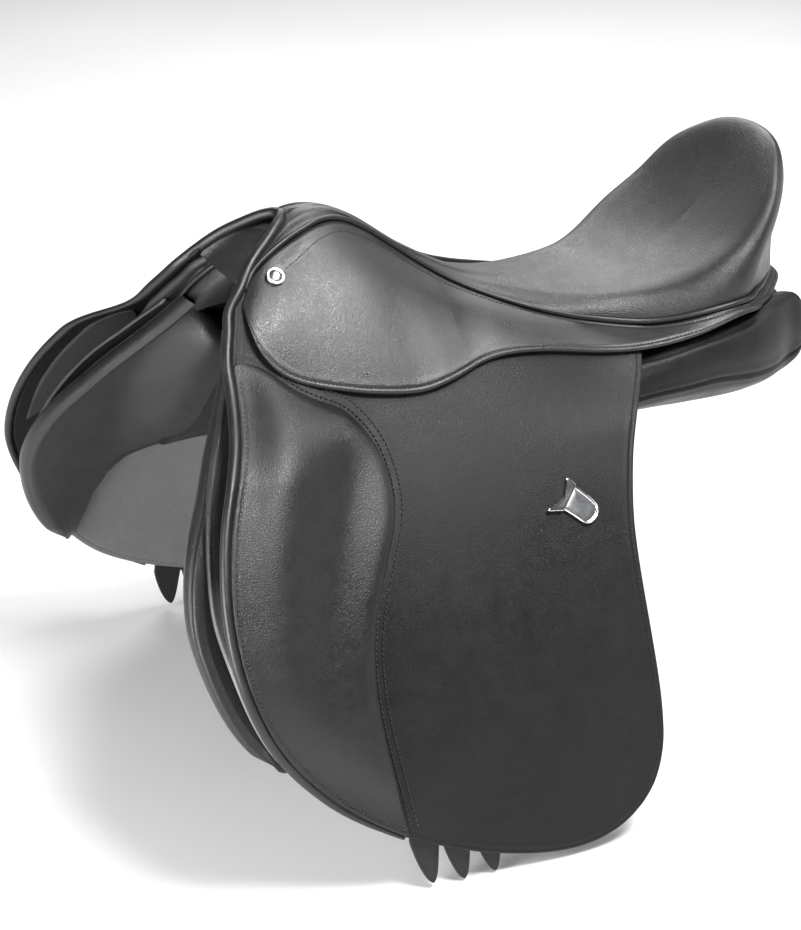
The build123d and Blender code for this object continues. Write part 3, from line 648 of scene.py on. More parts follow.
def woven(name, c1, c2, scale):
    nt, b = material(name)
    v = coords(nt)
    hs = []
    for d in ("X", "Y"):
        w = node(nt, "ShaderNodeTexWave", wave_type="BANDS", bands_direction=d)
        w.inputs["Scale"].default_value = scale
        w.inputs["Distortion"].default_value = 0.6
        nt.links.new(v, w.inputs["Vector"])
        hs.append(w.outputs["Fac"])
    h = math_(nt, "MAXIMUM", hs[0], hs[1])
    n = noise(nt, v, 90.0, 5.0)
    nt.links.new(ramp(nt, math_(nt, "MULTIPLY", h, mapr(nt, n, 0.7, 1.1)), [(0.2, c1), (0.9, c2)]), b.inputs["Base Color"])
    nt.links.new(mapr(nt, n, 0.75, 0.92), b.inputs["Roughness"])
    nt.links.new(bump(nt, h, 0.6, 0.0003), b.inputs["Normal"])


thread_material()
wood_material()
woven("webbing", (0.24, 0.21, 0.16), (0.48, 0.44, 0.36), 260.0)
woven("foam", (0.42, 0.38, 0.28), (0.62, 0.58, 0.46), 420.0)

# =============================================================================
# Saddle flap, knee pad, sweat flap (side-view outlines in x, z)
# =============================================================================
A = np.array
FLAP_FRONT = [(-206, 112), (-212, 103), (-215, 96), (-220, 86), (-225, 76), (-229, 66), (-231.5, 56), (-235, 45), (-241, 31),
              (-249, 17), (-257, 3), (-265, -12), (-272, -30), (-277, -49), (-279.5, -68), (-279.5, -88), (-276, -110),
              (-268.5, -133), (-257, -156), (-240, -179), (-218, -201), (-196, -217.5), (-173, -232)]
FLAP_BOTTOM = [(-173, -232), (-150, -243), (-120, -255), (-89, -264), (-58, -269.5), (-34, -269.5), (-17, -266), (-2, -259.5), (11, -250)]
FLAP_REAR = [(79, 34), (73, 22), (67, 12.5), (60, 1.5), (54, -8.5), (48.5, -19), (43.5, -31), (38, -48), (34.2, -66), (32.3, -85), (31.7, -104),
             (32.0, -128), (32.8, -152), (33.4, -173), (33.2, -190), (31.8, -208), (28, -223), (21, -238), (11, -250)]
FLAP_TOP = [(-206, 112), (-196, 104), (-187, 90), (-176, 74), (-150, 57), (-110, 47), (-80, 45), (-60, 46), (-30, 48), (0, 47), (40, 43), (66, 37), (79, 34)]
f_front = even(FLAP_FRONT, 190)
f_bottom = even(FLAP_BOTTOM, 130, warp=cosw)
f_rear = even(FLAP_REAR, 190, warp=lambda u: cosw(u, 0.35))
f_top = even(FLAP_TOP, 130, warp=cosw)
SI = [(-222, 69), (-209, 65), (-200, 59), (-190, 51), (-174, 42), (-160, 35.5), (-152, 28), (-146, 19), (-142.5, 9), (-141.3, -4), (-142.5, -17), (-146.5, -29),
      (-153.5, -42), (-162, -57), (-170, -71.5), (-176, -86), (-180.5, -102), (-183.2, -119), (-184.2, -137), (-183, -157), (-180, -180), (-176, -205), (-172, -229)]
si_line = even(SI, 400)
flap_outline = np.vstack([f_front, f_bottom[1:], f_rear[::-1][1:], f_top[::-1][1:]])
edge_line = np.vstack([f_front, f_bottom[1:], f_rear[::-1][1:]])
FN, FT = 7.0, 4.5


def edge_round(d, r=2.0):
    return np.sqrt(np.maximum(1 - (1 - np.clip(d / r, 0, 1)) ** 2, 0))


G = coons(f_front, f_rear, f_top, f_bottom)
dF = near(G, flap_outline)
dE = near(G, edge_line)
wav = 0.35 * hashnoise(np.concatenate([G, 0 * G[..., :1]], -1), 70.0, 3)
soft = sstep(dF, 0, 30)
mid_n = FN + FT / 2
# pressed stitch channel, a slight belly in the leather, and the seam trench along the pad
si_d = near(G, si_line)
behind_pad = (G[..., 0] > np.interp(-G[..., 1], -A(SI)[:, 1], A(SI)[:, 0]))
trench = -0.7 * gauss(si_d, 2.2)
out_n = mid_n + FT / 2 * edge_round(dF, 2.2) + wav * soft - 0.55 * gauss(dE - 3.9, 0.8) + 0.25 * gauss(dE - 6.2, 1.6) + trench
in_n = mid_n - FT / 2 * edge_round(dF, 2.2) + wav * soft * 0.3


def fold_blend(ob, side, which):
    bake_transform(ob)


# knee pad grid
p_front = A([(x + 1.2, z) for x, z in FLAP_FRONT if 68 >= z])
p_front = np.vstack([[(-226.8, 68.5)], p_front[1:]])
p_front = even(p_front, 210)
p_front[-1] = (-174.5, -230.8)
p_rear = even(SI, 210)
p_top = even([(-226.8, 68.5), (-224.5, 69.2), (-222, 69)], 72, smooth=False, warp=lambda u: cosw(u, 0.9))
p_bot = even([p_front[-1], (-173.2, -230), (-172, -229)], 72, smooth=False, warp=lambda u: cosw(u, 0.9))
PG = coons(p_front, p_rear, p_top, p_bot)
pf = near(PG, A([(x, z) for x, z in FLAP_FRONT[3:]], float))
pr = near(PG, si_line)
zz = PG[..., 1]
wf = 24 - 6 * sstep(zz, 0, 50) + 12 * gauss(zz + 95, 70)
rise_f = sstep((pf - 7.0) / wf)
rise_r = edge_round(pr, 15.0)
Hpad = 13.4 * (0.50 + 0.50 * sstep(zz, 66, 20)) * (0.35 + 0.65 * sstep(zz, -232, -190))
valley = A([(-160, 24), (-168, 8), (-190, -22), (-212, -58), (-228, -96), (-232, -120)], float)
vd = near(PG, valley)
core = (Hpad - 1.3) * np.minimum(rise_f, 1)
core = core - 4.6 * gauss(vd, 17.0) * rise_f * sstep(pr, 8, 26) * sstep(zz, -190, -120)
core += 1.1 * gauss(near(PG, A([(-206, 52), (-214, 30), (-226, 4)], float)), 13.0) * rise_f
for _ in range(70):
    c2 = core.copy()
    c2[1:-1, 1:-1] = 0.4 * core[1:-1, 1:-1] + 0.15 * (core[2:, 1:-1] + core[:-2, 1:-1] + core[1:-1, 2:] + core[1:-1, :-2])
    core = c2
hp = (1.3 + np.maximum(core, 0)) * (0.30 + 0.70 * rise_r)
hp = hp * edge_round(pr, 3.0) + 0.0
hp = hp * (0.25 + 0.75 * edge_round(np.maximum(pf - 1.0, 0), 2.0)) - 0.35 * gauss(pf - 4.6, 0.9)
hp += 0.16 * hashnoise(np.concatenate([PG, 0 * PG[..., :1]], -1), 26.0, 5) * rise_f * rise_r
hp = np.maximum(hp, 0.05)


def offset_line(P, d):
    """Polyline in the plane moved d to the left of its direction."""
    T = np.gradient(P, axis=0)
    T /= np.linalg.norm(T, axis=1, keepdims=True)
    return P + np.stack([-T[:, 1], T[:, 0]], -1) * d


edge_path = np.vstack([f_bottom, f_rear[::-1][1:]])
st_edge = offset_line(even(edge_path, 700, smooth=False), 3.9)
st_si1 = offset_line(si_line, 2.6)
st_si2 = offset_line(si_line, 7.6)
front_path = even([(x, z) for x, z in FLAP_FRONT if z < 68], 500)
st_front = offset_line(front_path, 4.8)


def stitch_side(name, line, n, side, which, **kw):
    P = on_side(line[:, 0], line[:, 1], n, side)
    N = side_normal(line[:, 1], side)
    ob = stitches(name, P, N, **kw)
    fold_blend(ob, side, which)
    ob if False else None
    return ob


for side, which in SIDES:
    outer = on_side(G[..., 0], G[..., 1], out_n, -1)
    inner = on_side(G[..., 0], G[..., 1], in_n, -1)
    ob = slab("flap_leather_" + which, G, outer, inner, "flap_leather", side)
    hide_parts("flap_" + which, "flap_top_" + which)
    fold_blend(ob, side, which)
    # knee pad
    outer = on_side(PG[..., 0], PG[..., 1], FN + FT + hp, -1)
    inner = on_side(PG[..., 0], PG[..., 1], FN + FT - 0.9 + 0 * hp, -1)
    ob = slab("knee_pad_cover_" + which, PG, outer, inner, "pad_leather", side)
    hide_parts("knee_pad_" + which)
    fold_blend(ob, side, which)
    keep = st_edge[(st_edge[:, 0] > -170) | (st_edge[:, 1] > -225)]
    stitch_side("stitch_flap_edge_" + which, keep, FN + FT - 0.40, side, which, pitch=3.1, length=2.3, width=0.75)
    cutz = st_si1[:, 1] > -226
    stitch_side("stitch_pad_seam_a_" + which, st_si1[cutz][30:], FN + FT + 0.15, side, which, pitch=3.6, length=2.6, width=1.25, height=0.85)
    cutz = st_si2[:, 1] > -229
    stitch_side("stitch_pad_seam_b_" + which, st_si2[cutz][40:], FN + FT + 0.20, side, which, pitch=3.6, length=2.6, width=1.25, height=0.85)
    stitch_side("stitch_pad_front_" + which, st_front[4:-4], FN + FT + 1.0, side, which, pitch=3.3, length=3.1, width=1.25, height=0.8, slant=0.62 * (1 if side < 0 else -1))

# sweat flap
SW_FRONT = [(-222, 68), (-229, 58), (-237, 47), (-246, 33), (-255.5, 19), (-268, -4), (-278, -31), (-283, -52),
            (-285, -74), (-281.5, -98), (-274, -129), (-262, -158), (-245, -181), (-220, -204), (-190, -221)]
SW_BOTTOM = [(-190, -221), (-150, -236), (-100, -246.5), (-50, -251.5), (-18, -249), (8, -237)]
SW_REAR = [(62, 18), (58, 4), (48, -10), (37, -32), (29, -62), (24, -100), (22.5, -140), (24, -180), (21, -215), (8, -237)]
SW_TOP = [(-222, 68), (-205, 58), (-170, 42), (-110, 31), (-40, 26), (62, 18)]
s_front, s_bottom = even(SW_FRONT, 120), even(SW_BOTTOM, 100, warp=cosw)
s_rear, s_top = even(SW_REAR, 120), even(SW_TOP, 100, warp=cosw)
SG = coons(s_front, s_rear, s_top, s_bottom)
s_out = np.vstack([s_front, s_bottom[1:], s_rear[::-1][1:], s_top[::-1][1:]])
s_edge = np.vstack([s_front, s_bottom[1:], s_rear[::-1][1:]])
sd = near(SG, s_out)
se = near(SG, s_edge)
swv = 0.5 * hashnoise(np.concatenate([SG, 0 * SG[..., :1]], -1), 55.0, 9) * sstep(sd, 0, 25)
for side, which in SIDES:
    o_n = -2.0 + 2.0 * edge_round(sd, 2.0) - 0.3 * gauss(se - 4.2, 0.8)
    i_n = -2.0 - 2.0 * edge_round(sd, 2.0) + 0.5 * gauss(se - 4.2, 0.8) + 0.4 * swv - 0.4
    ob = slab("sweat_flap_leather_" + which, SG, on_side(SG[..., 0], SG[..., 1], o_n), on_side(SG[..., 0], SG[..., 1], i_n), "sweat_leather", side)
    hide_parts("sweat_flap_" + which)
    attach(ob, "saddle")
    ln = offset_line(even(np.vstack([s_front[6:], s_bottom[1:], s_rear[::-1][1:-8]]), 900, smooth=False), 4.2)
    for nm, nn, sg in (("in", -3.55, -1), ("out", -0.5, 1)):
        P = on_side(ln[:, 0], ln[:, 1], nn, side)
        ob = stitches("stitch_sweat_%s_%s" % (nm, which), P, sg * side_normal(ln[:, 1], side), pitch=3.6, length=2.6, width=0.8)
        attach(ob, "saddle")

# =============================================================================
# Skirts: one leather from the welt to its lower edge
# =============================================================================
SK = [((-203, -43, 105), (-208.5, -52, 100)), ((-196, -38.5, 113), (-209.5, -74, 82)), ((-180, -33, 124), (-194, -91, 59.5)),
      ((-160, -26, 131), (-166, -101, 49)), ((-140, -21, 137), (-142, -106, 43.5)), ((-120, -19, 137), (-118, -109, 39.5)),
      ((-100, -20, 127), (-98, -110, 38)), ((-80, -24, 112), (-80, -109, 40.5)), ((-60, -29, 96.5), (-62, -105, 44)),
      ((-42, -33, 84), (-45, -101, 48)), ((-20, -38.5, 72), (-22, -100.5, 50)), ((10, -47, 58.5), (12, -103, 47)),
      ((40, -57, 49), (44, -107, 42)), ((70, -68, 43.5), (74, -109, 39)), ((100, -80.5, 41.5), (106, -106, 37.5)),
      ((130, -91.5, 45.5), (138, -104, 40.5)), ((155, -95.5, 49.5), (163, -100, 44)), ((178, -89, 49.5), (186, -92, 43)),
      ((198, -74, 46.5), (206, -77, 40)), ((216, -56, 42.5), (224, -59, 36.5)), ((232, -34, 39.5), (240, -36, 33)),
      ((243, -12, 37.5), (251, -13, 31)), ((245, 0, 37), (253, 0, 30.5))]
NS = 300


def stations(T, L, n, mirror_end=True):
    """Smooth T and L curves sharing one parameter."""
    T, L = A(T, float), A(L, float)
    if mirror_end:
        T = np.vstack([T, (T[-2::-1] * [1, -1, 1])[:4]])
        L = np.vstack([L, (L[-2::-1] * [1, -1, 1])[:4]])
    d = 0.5 * (np.linalg.norm(np.diff(T, axis=0), axis=1) + np.linalg.norm(np.diff(L, axis=0), axis=1))
    t = np.concatenate([[0], np.cumsum(np.sqrt(d))])
    last = len(T) - 1 - (4 if mirror_end else 0)
    out = []
    for P in (T, L):
        P2 = np.hstack([P])
        n_ = len(P2)
        h = np.diff(t)
        M = np.zeros((n_, n_))
        B = np.zeros_like(P2)
        M[0, 0] = M[-1, -1] = 1
        for i in range(1, n_ - 1):
            M[i, i - 1], M[i, i], M[i, i + 1] = h[i - 1], 2 * (h[i - 1] + h[i]), h[i]
            B[i] = 6 * ((P2[i + 1] - P2[i]) / h[i] - (P2[i] - P2[i - 1]) / h[i - 1])
        m = np.linalg.solve(M, B)
        u = np.linspace(0, t[last], n)
        i = np.clip(np.searchsorted(t, u) - 1, 0, n_ - 2)
        a, b, hh = (t[i + 1] - u)[:, None], (u - t[i])[:, None], h[i][:, None]
        out.append((m[i] * a**3 + m[i + 1] * b**3) / (6 * hh) + (P2[i] / hh - m[i] * hh / 6) * a + (P2[i + 1] / hh - m[i + 1] * hh / 6) * b)
    return out[0], out[1], np.linspace(0, t[last], n), t[:last + 1]


skT, skL, sku, skt = stations([a for a, b in SK], [b for a, b in SK], NS)
# tuck the seam edge under the welt
chord = skL - skT
clen = np.linalg.norm(chord, axis=1)
cdir = chord / clen[:, None]
along = np.gradient((skT + skL) / 2, axis=0)
along /= np.linalg.norm(along, axis=1, keepdims=True)
outn = np.cross(along, cdir)
outn /= np.linalg.norm(outn, axis=1, keepdims=True)
outn *= np.sign(outn[:, 2:3] + 1e-9)
NT = 46
DE = np.array([0.0, 0.12, 0.4, 0.9, 1.6, 2.3, 2.9, 3.4, 3.9, 4.5, 5.3, 6.6, 8.6, 11.5])
skirt_top = np.zeros((NS, NT, 3))
skirt_d = np.zeros((NS, NT))
for i in range(NS):
    t = np.linspace(0, 1, 240)
    amt = 6.0 * min(1.0, clen[i] / 90)
    c = skT[i] + chord[i] * t[:, None] + outn[i] * (amt * 4 * t * (1 - t))[:, None]
    L = arc(c)
    tot = L[-1]
    sc = min(1.0, tot / 26.0)
    de = DE * sc
    rest = NT - len(de)
    s = np.concatenate([np.linspace(0, tot - de[-1], rest + 1)[:-1], tot - de[::-1]])
    skirt_top[i] = np.stack([np.interp(s, L, c[:, k]) for k in range(3)], -1)
    skirt_d[i] = (tot - s) / sc
gu = np.gradient(skirt_top, axis=0)
gv = np.gradient(skirt_top, axis=1)
skN = np.cross(gu, gv)
skN /= np.maximum(np.linalg.norm(skN, axis=-1, keepdims=True), 1e-9)
skN *= np.sign((skN * outn[:, None]).sum(-1, keepdims=True))
stud_c = A([-180.6, -46.6, 114.4])
dist_stud = np.linalg.norm(skirt_top - stud_c, axis=-1)
seam_s = np.cumsum(np.concatenate([np.zeros((NS, 1)), np.linalg.norm(np.diff(skirt_top, axis=1), axis=-1)], 1), 1)
# line of stitching that runs from the stud up to the welt and back along it
st_u = np.interp(np.arange(len(skt)), [0, 2, 2.45, 3, 3.6, 4.3, 5, 6, 8, 12, 16, 19, 22], [20, 17.5, 17.0, 15.2, 12.8, 9.8, 8.4, 8.0, 7.6, 7.6, 3.9, 3.9, 3.9])
st_off = np.interp(sku, skt, st_u)
first = int(np.searchsorted(sku, skt[2] + 0.42 * (skt[3] - skt[2])))
line_pt, line_n, line_mask = [], [], np.zeros((NS, NT))
for i in range(NS):
    line_mask[i] = gauss(seam_s[i] - st_off[i], 1.3) * (1.0 if i >= first - 3 else 0.0)
h = -0.55 * line_mask + 0.5 * gauss(seam_s - (st_off[:, None] - 4.0), 2.6) * (np.arange(NS)[:, None] > first) * (clen[:, None] > 30)
h += -0.5 * gauss(skirt_d - 3.7, 0.75) + 0.3 * gauss(skirt_d - 6.0, 1.7) * (clen[:, None] > 20)
h += -1.3 * gauss(dist_stud, 11.0)
h += 0.25 * hashnoise(skirt_top, 45.0, 2) * sstep(skirt_d, 4, 20)
TK = 4.2 * np.minimum(1.0, clen / 14.0)[:, None]
TK = TK * (0.85 + 0.15 * sstep(skirt_d, 0, 8))
prof = edge_round(skirt_d, 2.0)
up_ = skirt_top + skN * (h * sstep(skirt_d, 0, 1.5) - (TK / 2) * (1 - prof))[..., None]
dn_ = skirt_top - skN * (TK / 2 + TK / 2 * prof)[..., None]
ig, vg = A([-0.379, -0.636, -0.673]), None
FOLD_P = A([-118.8, -76.5, 82.5])
HM = A([-122.1, -78.1, 88.55])


def skirt_blend(ob, side, which):
    s = A([1, 1, 1]) if side < 0 else A([1, -1, 1])
    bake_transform(ob)


def surf_at(i_arr, s_arr, up):
    """Points on the skirt's outer face at column i and distance s from the seam."""
    out = []
    for i, s in zip(i_arr, s_arr):
        out.append([np.interp(s, seam_s[i], up[i, :, k]) for k in range(3)])
    return A(out)


idx = np.arange(first, NS - 2)
seam_line = surf_at(idx, st_off[idx], up_)
seam_n = A([[np.interp(st_off[i], seam_s[i], skN[i, :, k]) for k in range(3)] for i in idx])
eidx = np.arange(6, NS - 2)
tot = seam_s[:, -1]
edge_l = surf_at(eidx, tot[eidx] - 3.7 * np.minimum(1, tot[eidx] / 26), up_)
edge_n = A([[np.interp(tot[i] - 3.7 * min(1, tot[i] / 26), seam_s[i], skN[i, :, k]) for k in range(3)] for i in eidx])
for side, which in SIDES:
    V = np.vstack([up_.reshape(-1, 3), dn_.reshape(-1, 3)])
    F = gridf(NS, NT, 0) + [tuple(reversed(f)) for f in gridf(NS, NT, NS * NT)]
    o = NS * NT
    rim = [(0, j) for j in range(NT)] + [(i, NT - 1) for i in range(1, NS)] + [(NS - 1, j) for j in range(NT - 2, -1, -1)] + [(i, 0) for i in range(NS - 2, 0, -1)]
    ii = [i * NT + j for i, j in rim]
    for a, b in zip(ii, ii[1:] + ii[:1]):
        F.append((b, a, a + o, b + o))
    ob = fix_normals(make("skirt_leather_" + which, V if side < 0 else mir(V), F, "skirt_leather", weld=0.02))
    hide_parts("skirt_" + which, "skirt_band_" + which)
    skirt_blend(ob, side, which)
    m = (lambda P: P) if side < 0 else mir
    ob = stitches("stitch_skirt_seam_" + which, m(seam_line), m(seam_n), pitch=3.2, length=2.3, width=0.8, sink=-0.05)
    skirt_blend(ob, side, which)
    ob = stitches("stitch_skirt_edge_" + which, m(edge_l), m(edge_n), pitch=3.1, length=2.3, width=0.75, sink=-0.02)
    skirt_blend(ob, side, which)

# =============================================================================
# Seat: one stretched leather over foam, from the front rim to the cantle
# =============================================================================
# x, welt half width, welt z, crest half width, crest z, centre z
ST = [(-150, 20, 133, 12, 141.5, 144), (-130, 17.5, 138.5, 10, 143.5, 144.5), (-110, 17, 132.5, 9, 135.8, 136.5), (-90, 20, 118.5, 11, 122, 122.8),
      (-70, 24, 102.5, 13, 107, 108.3), (-50, 28.5, 88.5, 16, 94, 95.5), (-30, 33.5, 76, 20, 82, 84), (-10, 39, 66.5, 25, 73.5, 76),
      (10, 44.5, 58, 31, 66.5, 70.5), (30, 51, 51, 38, 61.5, 66), (50, 58, 46, 46, 58.5, 62.5), (70, 65.5, 43, 53, 57.5, 60), (93, 75, 41, 62, 59, 58),
      (110, 82, 42, 69, 63, 60), (130, 89, 45.5, 77, 70, 65), (150, 93, 49, 83.5, 80, 73), (170, 91, 50.5, 85.5, 92.5, 85), (185, 83.5, 50, 83.5, 106.5, 98),
      (200, 71, 47.5, 77.5, 129, 115), (215, 54.5, 44, 60.5, 147, 135), (228, 37, 41, 40.5, 159, 153), (238, 18, 39, 20, 163.5, 159.5), (242, 0, 38.5, 0, 164, 164)]
REAR_W = {19: (216, -55.5, 44), 20: (231, -36.5, 41), 21: (241.5, -17.5, 39), 22: (245, 0, 38.5)}
REAR_K = {19: (213.5, -60, 146.5), 20: (224.5, -40.5, 158.6), 21: (231.0, -20.5, 163.5), 22: (233.0, 0, 164.5)}
Wc, Kc, Cc = [], [], []
for i, s in enumerate(ST):
    Wc.append(REAR_W.get(i, (s[0], -s[1], s[2])))
    Kc.append(REAR_K.get(i, (s[0], -s[3], s[4])))
NSEAT = 210
W_, K_, su, stt = stations(Wc, Kc, NSEAT)
z0f = pchip([-160] + [s[0] for s in ST[:-1]] + [243], [143.4] + [s[5] for s in ST[:-1]] + [160.0])
kx = K_[:, 0]
kline = K_.copy()
ycf = lambda x: np.interp(x, kline[:, 0], -kline[:, 1])
zcf = lambda x: np.interp(x, kline[:, 0], kline[:, 2])
# where each column meets the centre line
cx = K_[:, 0].copy()
ci = sstep(su, stt[14], stt[22])
cx = np.where(su > stt[14], np.interp(su, [stt[14], stt[16], stt[18], stt[20], stt[22]], [ST[14][0], 142, 152, 160, 166]), cx)
# smooth the plan direction
bul = np.interp(su, [stt[0], stt[4], stt[6], stt[12], stt[16], stt[19], stt[22]], [1.2, 2.0, 3.2, 4.5, 5.0, 7.0, 7.5])
wk = (W_ + K_) / 2
tg = np.gradient(K_ * 0.6 + W_ * 0.4, axis=0)
tg[:, 2] = 0
tg /= np.linalg.norm(tg, axis=1, keepdims=True)
on = np.stack([tg[:, 1] * -1, tg[:, 0], 0 * tg[:, 0]], -1)
on *= np.sign((on * np.stack([K_[:, 0] - 90, K_[:, 1] * 3, 0 * K_[:, 0]], -1)).sum(1, keepdims=True))
on = np.where((su < stt[15])[:, None], A([0, -1.0, 0]) * 1.0 + 0 * on, on)
on[:] = relax(on, 12)
on /= np.linalg.norm(on, axis=1, keepdims=True)
MT = 64
seat = np.zeros((NSEAT, MT, 3))
for i in range(NSEAT):
    W, K0 = W_[i], K_[i]
    hgt = K0[2] - W[2]
    out = on[i]
    rear = float(sstep(su[i], stt[15], stt[19]))
    b1 = W + (K0 - W) * 0.30 + out * bul[i] * (1.0 - 0.72 * rear)
    b2 = W + (K0 - W) * 0.62 + out * bul[i] * (0.95 - 0.22 * rear)
    shoulder = K0 + out * min(bul[i] * 0.35, 2.0) - A([0, 0, 1.0]) * min(3.0, hgt * 0.12)
    pts = [W, W + (K0 - W) * 0.10 + out * bul[i] * (0.55 - 0.5 * rear), b1, b2, shoulder]
    C = A([cx[i], 0, 0])
    for tau in (0.10, 0.24, 0.42, 0.6, 0.78, 1.0):
        p = K0 + (C - K0) * tau
        x, y = p[0], p[1]
        r = min(abs(y) / max(ycf(x), 1e-3), 1.0) if tau < 1 else 0.0
        z = float(z0f(x)) + (float(zcf(x)) - float(z0f(x))) * r ** 2.2
        pts.append((x, y, z))
    pts = A(pts)
    full = np.vstack([pts, (pts[-2::-1] * [1, -1, 1])[:3]])
    d = dense(full, False, 14)
    cut = np.argmin(np.linalg.norm(d - pts[-1], axis=1))
    d = d[:cut + 1]
    L = arc(d)
    u = np.linspace(0, 1, MT)
    u = 0.55 * u + 0.45 * u ** 1.7
    seat[i] = np.stack([np.interp(u * L[-1], L, d[:, k]) for k in range(3)], -1)
    seat[i, -1, 1] = 0.0
seat0 = seat.copy()
FLAT = A([1.0, 0.0, 1.0])
back = sstep(su, stt[11], stt[14])[:, None, None]
for _ in range(34):
    s2 = seat.copy()
    s2[:, 1:-1] = 0.5 * seat[:, 1:-1] + 0.25 * (seat[:, 2:] + seat[:, :-2])
    seat = seat * (1 - back) + s2 * back
for _ in range(20):
    s2 = seat.copy()
    s2[1:-1, 1:-1] = 0.5 * seat[1:-1, 1:-1] + 0.125 * (seat[2:, 1:-1] + seat[:-2, 1:-1] + seat[1:-1, 2:] + seat[1:-1, :-2])
    s2[1:-1, -1] = (0.5 * seat[1:-1, -1] + 0.125 * (seat[2:, -1] + seat[:-2, -1]) + 0.25 * seat[1:-1, -2]) * FLAT
    s2[-1, 1:-1] = (0.5 * seat[-1, 1:-1] + 0.25 * seat[-2, 1:-1] + 0.125 * (seat[-1, 2:] + seat[-1, :-2])) * FLAT
    s2[-1, -1] = (0.5 * seat[-1, -1] + 0.25 * seat[-2, -1] + 0.25 * seat[-1, -2]) * FLAT
    seat = s2
# pommel leather in front: from the welt to the rim
RIM = [(-156.5, 0, 141), (-165, -10.5, 137.5), (-176.5, -20, 131), (-188, -26, 125), (-197, -31, 117.5), (-205, -37.5, 109.5)]
WELT = [(-202, -41.5, 108.5), (-193, -35.5, 118), (-178, -31, 127.5), (-160, -24.5, 134), (-150, -21.3, 136.6), (-140, -20, 140), (-124, -18, 140.5), (-104, -18.5, 132), (-82, -22, 116),
        (-60, -27, 99), (-38, -32.5, 84.2), (-12, -40, 70.8), (16, -49, 59.6), (44, -58.5, 51.2), (72, -69.5, 46.6), (100, -80.5, 44.8), (128, -90.5, 48.4), (152, -95.2, 52.2),
        (172, -92.5, 53), (188, -84, 51.8), (203, -70.5, 49.2), (218, -53.5, 45.6), (232, -33, 42.4), (240.5, -15, 40.8), (244.0, 0, 40.2)]
NP_ = 60
rim_e = even(RIM, NP_)[::-1]
rim_in = rim_e + A([1.5, 0, -0.8])
wl = even([(-203, -42, 107.0), (-193, -35.8, 116.4), (-178, -31, 126.2), (-160, -24.5, 132.4), (-150, -20, 133)], NP_)
pom = np.zeros((NP_, MT, 3))
for i in range(NP_):
    f = i / (NP_ - 1)
    W, R = wl[i], rim_in[i]
    Lc = np.linalg.norm(R - W)
    cr = 3.2 * sstep(Lc, 0, 26)
    # last column is the seat's first column; earlier ones blend to plain crowned strips
    t = np.linspace(0, 1, MT)
    strip = W + (R - W) * t[:, None] + A([0, -0.35, 0.94]) * (cr * 4 * t * (1 - t))[:, None]
    first_col = seat[0]
    dl = (first_col - (first_col[0] + (first_col[-1] - first_col[0]) * t[:, None]))
    shaped = W + (R - W) * t[:, None] + dl * (Lc / np.linalg.norm(first_col[-1] - first_col[0]))
    w = sstep(f, 0.35, 1.0)
    pom[i] = strip * (1 - w) + shaped * w
# join the two grids smoothly
pom_n = pom[:-1]
allg = np.concatenate([pom_n, seat], 0)
for _ in range(10):
    s2 = allg.copy()
    k0, k1 = 1, NP_ + 14
    s2[k0:k1, 1:-1] = 0.5 * allg[k0:k1, 1:-1] + 0.25 * (allg[k0 + 1:k1 + 1, 1:-1] + allg[k0 - 1:k1 - 1, 1:-1])
    allg = s2
seatg = allg
NA = len(seatg)
V = np.vstack([seatg.reshape(-1, 3), mir(seatg).reshape(-1, 3)])
F = gridf(NA, MT, 0) + [tuple(reversed(f)) for f in gridf(NA, MT, NA * MT)]
# underside: welt edge to welt edge
e1 = [i * MT for i in range(NA)]
e2 = [NA * MT + i * MT for i in range(NA)]
under = seatg[:, 0] * A([1, 0.5, 1]) + A([0, 0, -1.2])
o = len(V)
V = np.vstack([V, under, mir(under)])
for i in range(NA - 1):
    F.append((e1[i + 1], e1[i], o + i, o + i + 1))
    F.append((o + i + 1, o + i, o + NA + i, o + NA + i + 1))
    F.append((o + NA + i + 1, o + NA + i, e2[i], e2[i + 1]))
ob = fix_normals(make("seat_leather_cover", V, F, "seat_leather", weld=0.05))
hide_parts("seat_cover", "seat_foam", "pommel_cover")
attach(ob, "saddle")
wl_full = even(WELT, 420)
for side, which in SIDES:
    P = wl_full if side < 0 else mir(wl_full)
    ob = cordmesh("welt_cord_" + which, P - A([0, 0, 0.5]), 2.0, "piping_leather", seg=16)
    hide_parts("seat_welt_" + which)
    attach(ob, "saddle")

# =============================================================================
# Rim piping and flap piping
# =============================================================================
rim3 = [(p[0], p[1], p[2]) for p in RIM]
fr = [(x - 2.2, z) for x, z in FLAP_FRONT[1:]]
low = on_side([p[0] for p in fr], [p[1] for p in fr], FN + FT / 2, -1)
low = [tuple(p) for p in low if p[2] < 103]
top_join = [(-157.0, 0, 142.0), (-157.6, -3.0, 141.6), (-160.4, -7.4, 140.4), (-167, -13.5, 137.2), (-176.5, -20.5, 131.5), (-188, -27.5, 124.5), (-198, -34.5, 116), (-206.5, -41.5, 107.0)]
rim_path = even(top_join + low, 520)
for side, which in SIDES:
    P = rim_path if side < 0 else mir(rim_path)
    rr_ = np.interp(arc(P), [0, 40, 120, 420, arc(P)[-1] - 60, arc(P)[-1]], [3.9, 3.9, 3.7, 3.3, 3.2, 1.6])
    ob = cordmesh("rim_piping_" + which, P, rr_, "piping_leather", seg=20, caps=False)
    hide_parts("flap_piping_" + which, "pommel_piping")
    fold_blend(ob, side, which)

# =============================================================================
# Panels: flocked cushions, lofted along the saddle
# =============================================================================
def osd(z, n):
    p = on_side(0, z, n, 1)
    return (float(p[1]), float(p[2]))


